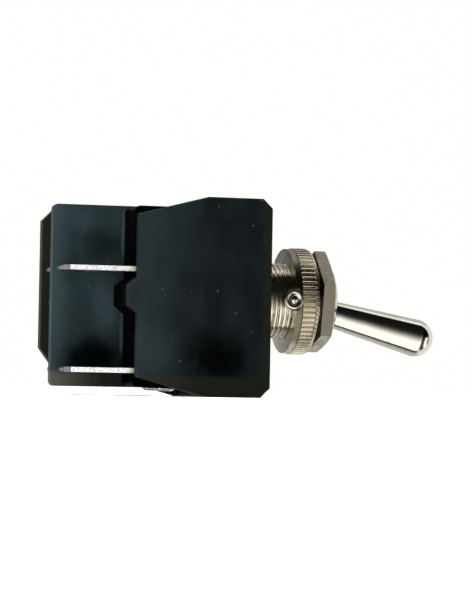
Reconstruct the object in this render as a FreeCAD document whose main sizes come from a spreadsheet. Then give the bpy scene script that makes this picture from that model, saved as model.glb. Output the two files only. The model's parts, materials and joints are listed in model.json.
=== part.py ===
"""Heavy-duty two-pole toggle switch for a panel, with flat push-on terminals.

Frame: millimetres. The origin is the centre of the bushing at the housing's front face,
+X runs out of the panel along the bushing, +Z is up, and the lever rests pointing down.
"""
import FreeCAD, Part
import math
import os
import Sketcher

Vector = FreeCAD.Vector
Rotation = FreeCAD.Rotation
Placement = FreeCAD.Placement

# Driving dimensions: alias, millimetres (degrees for angles, plain counts), what it sets
DIMENSIONS = [
    ("cover_height", 31.0, "height of the housing cover"),
    ("cover_front_length", 10.3, "depth of the full-height front of the cover"),
    ("front_wall", 2.4, "thickness of the cover's front wall"),
    ("cover_wall", 2.15, "thickness of the cover's top and bottom walls"),
    ("front_bevel", 1.5, "bevel round the top and bottom of the front face"),
    ("cheek_thickness", 2.0, "thickness of each side cheek"),
    ("cheek_inset", 0.3, "how far a cheek's rear edge lies in front of the rear wall's"),
    ("cheek_rear_height", 25.2, "height of a cheek at its rear edge"),
    ("cheek_edge_round", 0.35, "rounding along the outer edges of the cheeks"),
    ("tongue_root", 5.6, "height of the rear tongue where it leaves the wall"),
    ("tongue_tip", 3.1, "height of the rear tongue at its flat end"),
    ("tongue_reach", 1.6, "how far the tongue stands out behind the wall"),
    ("fit_gap", 0.05, "clearance between fitted mouldings"),
    ("overcut", 3.0, "how far a cutting profile reaches past what it cuts"),
    ("rib_root", 0.5, "how far ribs and shelves run into the rear wall"),
    ("block_step", 1.3, "step from the cover's top and bottom to the trays'"),
    ("tray_floor", 2.2, "thickness of a tray's floor"),
    ("roof_step", 0.3, "how far a tray's roof lies below its barrier's top edge"),
    ("plate_thickness", 2.0, "thickness of the barrier plate of a tray"),
    ("rear_wall", 2.0, "thickness of the rear wall"),
    ("wall_room", 4.1, "middle of the rivets to the inside of the rear wall"),
    ("barrier_reach", 11.4, "how far a barrier stands out behind the rear wall"),
    ("barrier_round", 0.8, "corner radius of the middle barrier"),
    ("block_round", 0.9, "corner radius at the rear of the contact block"),
    ("far_cut_top", 2.2, "upper corner cut of the outer barrier"),
    ("far_cut_low", 6.0, "lower corner cut of the outer barrier, along the height"),
    ("far_cut_low_run", 4.4, "lower corner cut of the outer barrier, along the depth"),
    ("window_room", 0.4, "space round the swinging actuator in the near tray's window"),
    ("thread_radius", 6.0, "outside radius of the bushing's thread"),
    ("thread_show", 0.9, "thread left in front of the hexagon nut"),
    ("bushing_bevel", 0.6, "lead-in bevel at the bushing's mouth"),
    ("flange_margin", 1.0, "bushing's square flange beyond the thread, on each side"),
    ("flange_thickness", 1.2, "thickness of that flange"),
    ("bore_radius", 4.2, "radius of the bushing's bore in front of and behind the ball"),
    ("seat_half", 2.4, "half length of the narrow part of the bore that holds the ball"),
    ("keyway_width", 1.6, "width of the groove under the thread"),
    ("keyway_depth", 0.9, "depth of that groove"),
    ("pivot_depth", 5.5, "front face to the lever's pivot pin"),
    ("pin_radius", 0.8, "radius of the pivot pin"),
    ("pin_inset", 0.55, "how far the pin's ends lie below the thread's crest"),
    ("running_gap", 0.05, "radial clearance of what turns or slides"),
    ("ball_radius", 3.45, "radius of the lever's ball"),
    ("lever_tilt", 14.0, "lever's angle below the axis at rest"),
    ("lever_reach", 25.3, "pivot to the tip of the lever"),
    ("stem_radius", 1.8, "radius of the lever where it leaves the ball"),
    ("bat_radius", 3.0, "radius of the lever at its rounded end"),
    ("tail_radius", 1.5, "radius of the lever's tail"),
    ("actuator_room", 0.5, "space between the tilted actuator and the cover's front wall"),
    ("actuator_length", 4.0, "length of the actuator along the lever"),
    ("actuator_half_height", 2.2, "half height of the actuator"),
    ("actuator_edge", 1.2, "width of actuator left outside each plunger"),
    ("actuator_bevel", 0.5, "bevel along the actuator's bar"),
    ("plunger_radius", 1.4, "radius of a plunger and of its domed tip"),
    ("plunger_dome", 0.7, "radius of the circle that the dome of a plunger's tip covers"),
    ("plunger_length", 5.1, "length of a plunger"),
    ("plunger_room", 1.1, "free length behind a plunger in its bore"),
    ("plunger_wall", 0.35, "wall of a plunger round its spring"),
    ("plunger_nose", 1.9, "tip of a plunger to the bottom of its hollow"),
    ("bore_bottom", 0.6, "actuator left under each plunger bore"),
    ("spring_room", 0.11, "space round a plunger spring"),
    ("spring_wire", 0.14, "half the side of the plunger spring's square wire"),
    ("spring_turns", 3.0, "turns of a plunger spring"),
    ("rocker_room", 2.17, "tip of a plunger back to the edge that a rocker tips on"),
    ("rocker_tilt", 7.0, "half of a rocker's swing"),
    ("rocker_rise", 1.45, "fulcrum to the rocker's face over it"),
    ("rocker_thickness", 0.8, "thickness of a rocker"),
    ("arm_margin", 1.2, "rocker arm left beyond the middle of its contact"),
    ("rocker_width", 4.5, "width of a rocker"),
    ("saddle_half_height", 1.3, "half height of the rocker's saddle"),
    ("saddle_depth", 0.1, "how far the saddle's feet stand behind the fulcrum"),
    ("strip_thickness", 0.8, "thickness of the terminal strip"),
    ("strip_width", 6.35, "width of the terminal strip"),
    ("blade_room", 0.3, "space between a terminal's edges and the chamber's walls"),
    ("blade_inset", 0.5, "barriers' rear edges to the upper terminals' tips"),
    ("lower_inset", 0.4, "how far the lower terminals' tips lie in front of the upper ones"),
    ("upper_blade_height", 4.1, "axis up to the upper terminals"),
    ("leg_room", 3.0, "fulcrum back to the upright leg of an upper terminal"),
    ("leg_margin", 0.7, "lower terminal's leg left above its contact button"),
    ("blade_tip_run", 1.9, "length of the tapered tip of a terminal"),
    ("blade_tip_cut", 1.1, "side cut of the tapered tip of a terminal"),
    ("blade_edge_bevel", 0.22, "bevel across the thickness at a terminal's tip"),
    ("blade_hole_radius", 0.85, "radius of the detent hole in a terminal"),
    ("blade_hole_inset", 4.4, "tip of a terminal to its detent hole"),
    ("contact_reach", 6.2, "rocker's middle to its contact button, along the arm"),
    ("contact_radius", 1.3, "radius of a contact button"),
    ("contact_height", 0.7, "height of a contact button"),
    ("contact_shank", 0.6, "radius of a contact button's shank"),
    ("contact_gap", 0.05, "space left between closed contacts, and at a rocker's stop"),
    ("stop_room", 1.3, "upper terminals up to the stop rib"),
    ("stop_thickness", 1.6, "thickness of the stop rib"),
    ("shelf_reach", 3.2, "length of the shelf under an upper terminal"),
    ("shelf_height", 1.4, "height of that shelf"),
    ("rivet_room", 1.7, "lower terminal's leg back to its rivet"),
    ("rivet_radius", 1.0, "radius of a terminal rivet"),
    ("rivet_head_radius", 1.5, "radius of a terminal rivet's head"),
    ("rivet_head_height", 0.5, "height of a terminal rivet's head"),
    ("rivet_bevel", 0.2, "bevel round a terminal rivet's heads"),
    ("washer_start", 4.9, "front face to the locating washer"),
    ("washer_thickness", 0.9, "thickness of the locating washer"),
    ("washer_rim", 2.35, "locating washer beyond the thread"),
    ("nut_bore_gap", 0.03, "clearance of the nuts and the washer on the bushing"),
    ("tab_width", 3.5, "width of the washer's bent tab"),
    ("tab_reach", 1.9, "how far the tab stands out behind the washer"),
    ("tab_thickness", 0.8, "thickness of the tab"),
    ("dimple_radius", 0.8, "radius of the pip pressed into the tab"),
    ("dimple_depth", 0.3, "depth of that pip"),
    ("ring_wall", 2.5, "knurled ring's ridges beyond the thread"),
    ("ring_width", 2.8, "width of the knurled ring"),
    ("ring_lip", 0.4, "width of the plain lip at the ring's front"),
    ("ridge_count", 66.0, "ridges round the knurled ring"),
    ("ridge_depth", 0.3, "depth of the knurled ring's grooves"),
    ("groove_width", 0.44, "width of those grooves at the ridges' tops"),
    ("nut_room", 0.9, "knurled ring to the hexagon nut"),
    ("nut_thickness", 2.0, "thickness of the hexagon nut"),
    ("nut_wall", 1.15, "hexagon nut's flats beyond the thread"),
    ("nut_bevel", 0.2, "bevel on the corners of the nut's front face"),
    ("nut_lead", 0.35, "lead-in bevel of the nut's bore"),
    ("nut_turn", 17.5, "how far the nut is turned round the bushing"),
]

doc = FreeCAD.newDocument("toggle_switch")
sheet = doc.addObject("Spreadsheet::Sheet", "sizes")
for row, (alias, value, meaning) in enumerate(DIMENSIONS, start=1):
    sheet.set(f"A{row}", str(value))
    sheet.setAlias(f"A{row}", alias)
    sheet.set(f"B{row}", meaning)
doc.recompute()


class Size:
    """A number together with the sheet formula that it comes from."""

    def __init__(self, number, formula):
        self.number = number
        self.formula = formula

    def __add__(self, other):
        other = as_size(other)
        return Size(self.number + other.number, f"({self.formula} + {other.formula})")

    def __sub__(self, other):
        other = as_size(other)
        return Size(self.number - other.number, f"({self.formula} - {other.formula})")

    def __mul__(self, other):
        other = as_size(other)
        return Size(self.number * other.number, f"({self.formula} * {other.formula})")

    def __truediv__(self, other):
        other = as_size(other)
        return Size(self.number / other.number, f"({self.formula} / {other.formula})")

    def __neg__(self):
        return Size(-self.number, f"(-1 * {self.formula})")

    __radd__ = __add__
    __rmul__ = __mul__

    def __rsub__(self, other):
        return as_size(other) - self


def as_size(value):
    return value if isinstance(value, Size) else Size(float(value), f"({float(value)!r})")


def size(alias):
    """The driving dimension of that name."""
    return Size(float(sheet.get(alias)), f"sizes.{alias}")


def sine(angle):
    return Size(math.sin(math.radians(angle.number)), f"sin({angle.formula})")


def cosine(angle):
    return Size(math.cos(math.radians(angle.number)), f"cos({angle.formula})")


def root(value):
    return Size(math.sqrt(value.number), f"sqrt({value.formula})")


def bind(target, attribute, value):
    """Ties a property to the sheet."""
    target.setExpression(attribute, as_size(value).formula)


# Profiles

LEFT_TURN = 1
RIGHT_TURN = -1


def new_body(label):
    body = doc.addObject("PartDesign::Body", label)
    body.Label = label
    return body


def origin_item(body, role):
    """A plane or axis of the body's origin."""
    return next(item for item in body.Origin.OriginFeatures if item.Role == role)


def new_sketch(body, name, plane, level):
    """A sketch on an origin plane of the body, moved along the plane's normal by level."""
    sketch = body.newObject("Sketcher::SketchObject", name)
    sketch.AttachmentSupport = (origin_item(body, plane), [""])
    sketch.MapMode = "FlatFace"
    level = as_size(level)
    sketch.AttachmentOffset = Placement(Vector(0, 0, level.number), Rotation())
    bind(sketch, "AttachmentOffset.Base.z", level)
    return sketch


def tie(sketch, kind, references, value):
    """Adds a dimension to a sketch and ties it to the sheet."""
    value = as_size(value)
    index = sketch.addConstraint(Sketcher.Constraint(kind, *references, value.number))
    name = f"{kind}_{index}"
    sketch.renameConstraint(index, name)
    bind(sketch, f"Constraints.{name}", value)


def arc_edge(start, end, radius, turn):
    """The shorter arc of that radius from start to end, turning left or right."""
    chord = end - start
    height = math.sqrt(max(radius * radius - chord.Length * chord.Length / 4, 0.0))
    normal = Vector(-chord.y, chord.x, 0).normalize()
    centre = (start + end) / 2 + normal * height * turn
    first, last = (start, end) if turn == LEFT_TURN else (end, start)
    angles = [math.atan2(point.y - centre.y, point.x - centre.x) for point in (first, last)]
    if angles[1] < angles[0]:
        angles[1] += 2 * math.pi
    return Part.ArcOfCircle(Part.Circle(centre, Vector(0, 0, 1), radius), *angles)


def add_loop(sketch, corners):
    """Adds a closed loop. A corner is (x, y), or (x, y, radius, turn) where an arc leaves it."""
    first = sketch.GeometryCount
    count = len(corners)
    points = [Vector(as_size(c[0]).number, as_size(c[1]).number, 0) for c in corners]
    ends = []
    for index, corner in enumerate(corners):
        start, end = points[index], points[(index + 1) % count]
        if len(corner) == 2:
            sketch.addGeometry(Part.LineSegment(start, end), False)
            ends.append((1, 2))
        else:
            sketch.addGeometry(arc_edge(start, end, as_size(corner[2]).number, corner[3]), False)
            ends.append((1, 2) if corner[3] == LEFT_TURN else (2, 1))
    for index in range(count):
        following = (index + 1) % count
        joint = (first + index, ends[index][1], first + following, ends[following][0])
        sketch.addConstraint(Sketcher.Constraint("Coincident", *joint))
    for index, corner in enumerate(corners):
        place = (-1, 1, first + index, ends[index][0])
        tie(sketch, "DistanceX", place, corner[0])
        tie(sketch, "DistanceY", place, corner[1])
        if len(corner) > 2:
            tie(sketch, "Radius", (first + index,), corner[2])


def outline(body, name, plane, corners, level=0.0):
    sketch = new_sketch(body, name, plane, level)
    add_loop(sketch, corners)
    return sketch


def circle(body, name, plane, centre, radius, level=0.0):
    sketch = new_sketch(body, name, plane, level)
    x, y, radius = (as_size(value) for value in (*centre, radius))
    sketch.addGeometry(Part.Circle(Vector(x.number, y.number, 0), Vector(0, 0, 1), radius.number), False)
    tie(sketch, "DistanceX", (-1, 1, 0, 3), x)
    tie(sketch, "DistanceY", (-1, 1, 0, 3), y)
    tie(sketch, "Radius", (0,), radius)
    return sketch


def box_corners(x_low, x_high, y_low, y_high):
    return [(x_low, y_low), (x_high, y_low), (x_high, y_high), (x_low, y_high)]


# Features

def feature(body, kind, name, sketch, length, both=False, reverse=False):
    """A pad or pocket of the sketch by that length, which is checked to change the solid."""
    before = body.Shape.Volume if body.Tip else 0.0
    made = body.newObject(f"PartDesign::{kind}", name)
    made.Profile = sketch
    made.SideType = "Symmetric" if both else "One side"
    made.Reversed = reverse
    bind(made, "Length", length)
    doc.recompute()
    changed(body, before, name)
    return made


def changed(body, before, name):
    if abs(body.Shape.Volume - before) < 1e-6:
        raise RuntimeError(f"{body.Label}: {name} changes nothing")


def pad(body, name, sketch, length, **options):
    return feature(body, "Pad", name, sketch, length, **options)


def pocket(body, name, sketch, length, **options):
    return feature(body, "Pocket", name, sketch, length, **options)


def turned(body, kind, name, corners):
    """A revolution or groove of a profile of (distance along, radius) about the body's X axis."""
    before = body.Shape.Volume if body.Tip else 0.0
    sketch = outline(body, f"{name}_profile", "XZ_Plane", corners)
    made = body.newObject(f"PartDesign::{kind}", name)
    made.Profile = sketch
    made.ReferenceAxis = (sketch, ["H_Axis"])
    made.Angle = 360.0
    doc.recompute()
    changed(body, before, name)
    return made


def edges_where(made, test):
    """Names of the edges whose middle point and direction pass the test."""
    names = []
    for number, edge in enumerate(made.Shape.Edges, start=1):
        middle = edge.valueAt((edge.FirstParameter + edge.LastParameter) / 2)
        ends = [vertex.Point for vertex in edge.Vertexes]
        if len(ends) == 2 and test(middle, ends[1] - ends[0]):
            names.append(f"Edge{number}")
    return names


def dress(body, kind, name, test, attribute, value):
    """A fillet or chamfer on the edges of the tip that pass the test."""
    base = body.Tip
    before = body.Shape.Volume
    made = body.newObject(f"PartDesign::{kind}", name)
    made.Base = (base, edges_where(base, test))
    bind(made, attribute, value)
    doc.recompute()
    changed(body, before, name)
    return made


def near(first, second):
    return abs(first - as_size(second).number) < 1e-4


def runs_across(direction):
    """Whether an edge of that direction runs along Y."""
    return near(abs(direction.y), direction.Length)


def put(body, x=0.0, y=0.0, z=0.0, turn=None):
    """Places a body. turn is (axis, angle)."""
    place = Vector(*(as_size(value).number for value in (x, y, z)))
    rotation = Rotation() if turn is None else Rotation(Vector(*turn[0]), turn[1].number)
    body.Placement = Placement(place, rotation)
    for axis, value in zip("xyz", (x, y, z)):
        bind(body, f"Placement.Base.{axis}", value)
    if turn is not None:
        bind(body, "Placement.Rotation.Angle", turn[1])


# Sizes that several pieces share

tray_pitch = size("strip_width") + 2 * size("blade_room") + size("plate_thickness")
half_width = tray_pitch + size("fit_gap") + size("cheek_thickness")
cavity_half = size("cover_height") / 2 - size("cover_wall")
nose_half = cavity_half - 2 * size("fit_gap")
block_half = size("cover_height") / 2 - size("block_step")
floor_height = block_half - size("tray_floor")
nose_front = -(size("front_wall") + size("fit_gap"))
shoulder = -(size("cover_front_length") + size("fit_gap"))
chamber_middle = -(tray_pitch + size("plate_thickness")) / 2
POLES = {"near": chamber_middle, "far": chamber_middle + tray_pitch}
TRAYS = {"near": as_size(0.0), "far": tray_pitch}

# The mechanism, from the pivot back to the rear wall
lever_tilt = size("lever_tilt")
LEVER_TURN = ((0, 1, 0), lever_tilt)
actuator_half = size("actuator_half_height")
front_corner = size("pivot_depth") + size("front_wall") + size("actuator_room")
actuator_start = (front_corner + actuator_half * sine(lever_tilt)) / cosine(lever_tilt)
actuator_end = actuator_start + size("actuator_length")
bore_end = actuator_start + size("bore_bottom")
plunger_reach = bore_end + size("plunger_room") + size("plunger_length")
plunger_hollow = size("plunger_radius") - size("plunger_wall")
fulcrum = size("pivot_depth") - plunger_reach * cosine(lever_tilt) - size("rocker_room")
half_strip = size("strip_thickness") / 2
tilt = size("rocker_tilt")
arm_front = fulcrum + size("rocker_rise") * cosine(tilt)
arm_back = arm_front - size("rocker_thickness")
lower_leg_front = arm_back - 2 * size("contact_height") - size("contact_gap")
lower_leg_back = lower_leg_front - size("strip_thickness")
rivet_middle = lower_leg_back - size("rivet_room")
wall_front = rivet_middle - size("wall_room")
wall_back = wall_front - size("rear_wall")
barrier_end = wall_back - size("barrier_reach")
upper_tip = barrier_end + size("blade_inset")
lower_tip = upper_tip + size("lower_inset")
lower_blade_height = floor_height - half_strip
fixed_contact_height = size("rocker_rise") * sine(tilt) + size("contact_reach")

# The mounting hardware, from the cover out
ring_start = size("washer_start") + size("washer_thickness")
ring_end = ring_start + size("ring_width")
nut_start = ring_end + size("nut_room")
nut_end = nut_start + size("nut_thickness")
bushing_end = nut_end + size("thread_show")
washer_radius = size("thread_radius") + size("washer_rim")
ring_radius = size("thread_radius") + size("ring_wall")
nut_bore = size("thread_radius") + size("nut_bore_gap")
flange_half = size("thread_radius") + size("flange_margin")

beyond = size("overcut")


def tongue_corners(edge, upwards):
    """The tapered tongue on a rear edge, listed from bottom to top or from top to bottom."""
    tip = edge - size("tongue_reach")
    corners = [
        (edge, -size("tongue_root") / 2),
        (tip, -size("tongue_tip") / 2),
        (tip, size("tongue_tip") / 2),
        (edge, size("tongue_root") / 2),
    ]
    return corners if upwards else corners[::-1]


# Housing

def make_cover():
    """Front shell: a closed box in front and two tapering cheeks that clasp the trays."""
    body = new_body("cover")
    top = size("cover_height") / 2
    rear = size("cheek_rear_height") / 2
    bevel = size("front_bevel")
    front = -size("cover_front_length")
    back = wall_back + size("cheek_inset")
    side = [(0, top - bevel), (-bevel, top), (front, top), (back, rear)]
    side += tongue_corners(back, upwards=False)
    side += [(back, -rear), (front, -top), (-bevel, -top), (0, -(top - bevel))]
    made = pad(body, "side_profile", outline(body, "side", "XZ_Plane", side), 2 * half_width, both=True)
    outer = half_width.number - 1e-4
    dress(body, "Fillet", "cheek_rounding", lambda m, d: abs(m.y) > outer, "Radius", size("cheek_edge_round"))
    inner = [
        (-size("front_wall"), -cavity_half), (-size("front_wall"), cavity_half),
        (front, cavity_half), (front, top + beyond),
        (back - beyond, top + beyond), (back - beyond, -(top + beyond)),
        (front, -(top + beyond)), (front, -cavity_half),
    ]
    width = 2 * (half_width - size("cheek_thickness"))
    pocket(body, "cavity", outline(body, "cavity_side", "XZ_Plane", inner), width, both=True)
    recess = flange_half + size("fit_gap")
    depth = size("flange_thickness")
    square = box_corners(-recess, recess, -recess, recess)
    floor = -(size("front_wall") - depth)
    pocket(body, "flange_recess", outline(body, "square", "YZ_Plane", square, floor), depth + size("fit_gap"))
    hole = circle(body, "bushing_round", "YZ_Plane", (0, 0), size("thread_radius") + size("fit_gap"))
    pocket(body, "bushing_hole", hole, 2 * size("front_wall"), both=True)
    return body


def block_side(rear_corners, top):
    """Side view of a tray: a nose in the cover, the full height behind it, then the given rear."""
    corners = [(nose_front, -nose_half), (nose_front, nose_half), (shoulder, nose_half), (shoulder, top)]
    corners += rear_corners
    corners += [(shoulder, -block_half), (shoulder, -nose_half)]
    return corners


def barrier_corners(pole):
    """The rear of a barrier: rounded on the middle one, cut away at the corners on the outer one."""
    if pole == "far":
        top, low, run = size("far_cut_top"), size("far_cut_low"), size("far_cut_low_run")
        return [
            (barrier_end + top, block_half), (barrier_end, block_half - top),
            (barrier_end, -(block_half - low)), (barrier_end + run, -block_half),
        ]
    turn = size("barrier_round")
    return [
        (barrier_end + turn, block_half, turn, LEFT_TURN), (barrier_end, block_half - turn),
        (barrier_end, -(block_half - turn), turn, LEFT_TURN), (barrier_end + turn, -block_half),
    ]


def make_tray(pole):
    """One pole's tray: a barrier plate with a rim that walls in the contact chamber."""
    body = new_body(f"tray_{pole}")
    plate = size("plate_thickness")
    depth = tray_pitch
    root = size("rib_root")
    side = outline(body, "plate_side", "XZ_Plane", block_side(barrier_corners(pole), block_half))
    pad(body, "plate", side, plate)
    turn = size("block_round")
    roof = block_half - size("roof_step")
    rear = [(wall_back + turn, roof, turn, LEFT_TURN), (wall_back, roof - turn)]
    rear += tongue_corners(wall_back, upwards=False)
    rear += [(wall_back, -(block_half - turn), turn, LEFT_TURN), (wall_back + turn, -block_half)]
    pad(body, "rim", outline(body, "rim_side", "XZ_Plane", block_side(rear, roof)), depth)
    chamber = box_corners(wall_front, nose_front + beyond, -floor_height, floor_height)
    side = outline(body, "chamber_side", "XZ_Plane", chamber, plate)
    pocket(body, "chamber", side, depth, reverse=True)
    slot_level = -POLES["near"] - size("strip_width") / 2 - size("fit_gap")
    for name, height in (("upper", size("upper_blade_height")), ("lower", -lower_blade_height)):
        half = half_strip + size("fit_gap") / 2
        corners = box_corners(wall_back - beyond, wall_front + beyond, height - half, height + half)
        side = outline(body, f"{name}_slot_side", "XZ_Plane", corners, slot_level)
        pocket(body, f"{name}_slot", side, depth, reverse=True)
    stop_low = size("upper_blade_height") + size("stop_room")
    stop_high = stop_low + size("stop_thickness")
    stop = box_corners(wall_front - root, arm_back - size("contact_gap"), stop_low, stop_high)
    pad(body, "stop_rib", outline(body, "stop_side", "XZ_Plane", stop), depth)
    shelf_top = size("upper_blade_height") - half_strip
    shelf_bottom = shelf_top - size("shelf_height")
    shelf = box_corners(wall_front - root, wall_front + size("shelf_reach"), shelf_bottom, shelf_top)
    pad(body, "shelf", outline(body, "shelf_side", "XZ_Plane", shelf), depth)
    centre = (rivet_middle, POLES["near"])
    hole_radius = size("rivet_radius") + size("fit_gap")
    hole = circle(body, "rivet_round", "XY_Plane", centre, hole_radius, -floor_height)
    pocket(body, "rivet_hole", hole, block_half)
    if pole == "near":
        room = size("window_room")
        half = actuator_end * sine(lever_tilt) + actuator_half * cosine(lever_tilt) + room
        depth = actuator_end * cosine(lever_tilt) + actuator_half * sine(lever_tilt) + room
        window = box_corners(size("pivot_depth") - depth, nose_front + beyond, -half, half)
        pocket(body, "window", outline(body, "window_side", "XZ_Plane", window), plate, reverse=True)
    put(body, y=TRAYS[pole])
    return body


# Bushing, lever and what mounts the switch

def make_bushing():
    """Bushing with a square flange behind the wall, a ball seat in its bore and a keyway below."""
    body = new_body("bushing")
    back = -size("front_wall")
    length = bushing_end
    radius = size("thread_radius")
    bevel = size("bushing_bevel")
    turned(body, "Revolution", "barrel", [
        (back, 0), (length, 0), (length, radius - bevel), (length - bevel, radius), (back, radius),
    ])
    square = box_corners(-flange_half, flange_half, -flange_half, flange_half)
    pad(body, "flange", outline(body, "flange_square", "YZ_Plane", square, back), size("flange_thickness"))
    seat = size("seat_half")
    socket = size("ball_radius") + size("running_gap")
    wide = size("bore_radius")
    pivot = size("pivot_depth")
    turned(body, "Groove", "bore", [
        (back, 0), (length, 0), (length, wide), (pivot + seat, wide), (pivot + seat, socket),
        (pivot - seat, socket), (pivot - seat, wide), (back, wide),
    ])
    half = size("keyway_width") / 2
    bottom = -(radius - size("keyway_depth"))
    corners = box_corners(-half, half, -(radius + beyond), bottom)
    keyway = outline(body, "keyway_end", "YZ_Plane", corners)
    pocket(body, "keyway", keyway, length + beyond, reverse=True)
    pin = circle(body, "pin_round", "XZ_Plane", (pivot, 0), size("pin_radius"))
    pocket(body, "pin_hole", pin, 2 * (radius + beyond), both=True)
    return body


def make_pivot_pin():
    """Plain pin across the bushing, through the lever's ball."""
    pin = doc.addObject("Part::Cylinder", "pivot_pin")
    pin.Label = "pivot_pin"
    half = size("thread_radius") - size("pin_inset")
    bind(pin, "Radius", size("pin_radius"))
    bind(pin, "Height", 2 * half)
    across = Rotation(Vector(1, 0, 0), 90)
    pin.Placement = Placement(Vector(size("pivot_depth").number, half.number, 0), across)
    bind(pin, "Placement.Base.x", size("pivot_depth"))
    bind(pin, "Placement.Base.y", half)
    return pin


def make_lever():
    """Bat handle, flattened ball and tail turned in one piece, along X from its pivot, then tilted."""
    body = new_body("lever")
    ball = size("ball_radius")
    tail = size("tail_radius")
    stem = size("stem_radius")
    bat = size("bat_radius")
    reach = size("lever_reach")
    tail_end = -(actuator_end - size("bore_bottom") / 2)
    flat = size("seat_half")
    shoulder_radius = root(ball * ball - flat * flat)
    turned(body, "Revolution", "turned_form", [
        (tail_end, 0), (tail_end, tail), (-flat, tail), (-flat, shoulder_radius, ball, RIGHT_TURN),
        (flat, shoulder_radius), (flat, stem), (reach - bat, bat, bat, RIGHT_TURN), (reach, 0),
    ])
    hole = circle(body, "pin_round", "XZ_Plane", (0, 0), size("pin_radius") + size("running_gap"))
    pocket(body, "pin_hole", hole, 2 * (ball + beyond), both=True)
    put(body, x=size("pivot_depth"), turn=LEVER_TURN)
    return body


def make_actuator():
    """Insulating crossbar on the lever's tail, with a blind bore for each pole's plunger."""
    body = new_body("actuator")
    back = -actuator_end
    margin = size("plunger_radius") + size("actuator_edge")
    bar = box_corners(POLES["near"] - margin, POLES["far"] + margin, -actuator_half, actuator_half)
    pad(body, "bar", outline(body, "bar_end", "YZ_Plane", bar, back), size("actuator_length"))
    dress(body, "Chamfer", "bar_bevel", lambda m, d: runs_across(d), "Size", size("actuator_bevel"))
    tail = circle(body, "tail_round", "YZ_Plane", (0, 0), size("tail_radius") + size("running_gap"), back)
    pocket(body, "tail_hole", tail, size("actuator_length"), reverse=True)
    bore = size("plunger_radius") + size("running_gap")
    depth = size("actuator_length") - size("bore_bottom")
    for pole, middle in POLES.items():
        round_end = circle(body, f"{pole}_round", "YZ_Plane", (middle, 0), bore, back)
        pocket(body, f"{pole}_bore", round_end, depth, reverse=True)
    put(body, x=size("pivot_depth"), turn=LEVER_TURN)
    return body


def make_plunger(pole):
    """Hollow plunger with a domed nose that pushes on a rocker."""
    body = new_body(f"plunger_{pole}")
    tip = -plunger_reach
    radius = size("plunger_radius")
    end = tip + size("plunger_length")
    hollow = tip + size("plunger_nose")
    dome = size("plunger_dome")
    dome_end = tip + radius - root(radius * radius - dome * dome)
    turned(body, "Revolution", "shell", [
        (tip, 0, radius, RIGHT_TURN), (dome_end, dome), (dome_end + radius - dome, radius), (end, radius),
        (end, plunger_hollow), (hollow, plunger_hollow), (hollow, 0),
    ])
    put_on_lever(body, pole)
    return body


def put_on_lever(body, pole):
    """Places a piece modelled along the lever's own axis beside it, in one pole."""
    put(body, x=size("pivot_depth"), y=POLES[pole], turn=LEVER_TURN)


def make_plunger_spring(pole):
    """Coil spring between the bottom of the actuator's bore and the plunger's hollow."""
    wire = size("spring_wire")
    low = size("plunger_nose") - plunger_reach + wire
    high = -(bore_end + wire)
    turns = size("spring_turns")
    length = high.number - low.number
    mean_radius = (plunger_hollow - size("spring_room") - wire).number
    helix = Part.makeHelix(length / turns.number, length, mean_radius)
    inner, outer = mean_radius - wire.number, mean_radius + wire.number
    section = Part.makePolygon([
        Vector(inner, 0, -wire.number), Vector(outer, 0, -wire.number), Vector(outer, 0, wire.number),
        Vector(inner, 0, wire.number), Vector(inner, 0, -wire.number),
    ])
    coil = Part.Wire(helix.Edges).makePipeShell([section], True, True)
    spring = doc.addObject("Part::Feature", f"plunger_spring_{pole}")
    spring.Label = f"plunger_spring_{pole}"
    spring.Shape = coil
    lever = Placement(Vector(size("pivot_depth").number, POLES[pole].number, 0),
                      Rotation(Vector(0, 1, 0), lever_tilt.number))
    along = Placement(Vector(low.number, 0, 0), Rotation(Vector(0, 1, 0), 90))
    spring.Placement = lever.multiply(along)
    return spring


# Contacts and terminals

def make_rocker(pole):
    """Rocking contact bridge: two arms bent forward from a saddle that sits on the fulcrum."""
    body = new_body(f"rocker_{pole}")
    rise = size("rocker_rise")
    thick = size("rocker_thickness")
    arm = size("contact_reach") + size("arm_margin")
    end_x = rise + arm * sine(tilt)
    end_z = arm * cosine(tilt)
    back = rise - thick / cosine(tilt)
    saddle = size("saddle_half_height")
    foot = -size("saddle_depth")
    foot_x = back + saddle * sine(tilt) / cosine(tilt)
    side = [
        (rise, 0), (end_x, end_z), (end_x - thick * cosine(tilt), end_z + thick * sine(tilt)),
        (foot_x, saddle), (foot, saddle), (foot, -saddle), (foot_x, -saddle),
        (end_x - thick * cosine(tilt), -(end_z + thick * sine(tilt))), (end_x, -end_z),
    ]
    pad(body, "bridge", outline(body, "side", "XZ_Plane", side), size("rocker_width"), both=True)
    groove = circle(body, "groove_round", "XZ_Plane", (0, 0), half_strip + size("running_gap"))
    pocket(body, "groove", groove, size("rocker_width") + beyond, both=True)
    put(body, x=fulcrum, y=POLES[pole], turn=((0, -1, 0), tilt))
    hole_in_arm(body)
    return body


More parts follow.
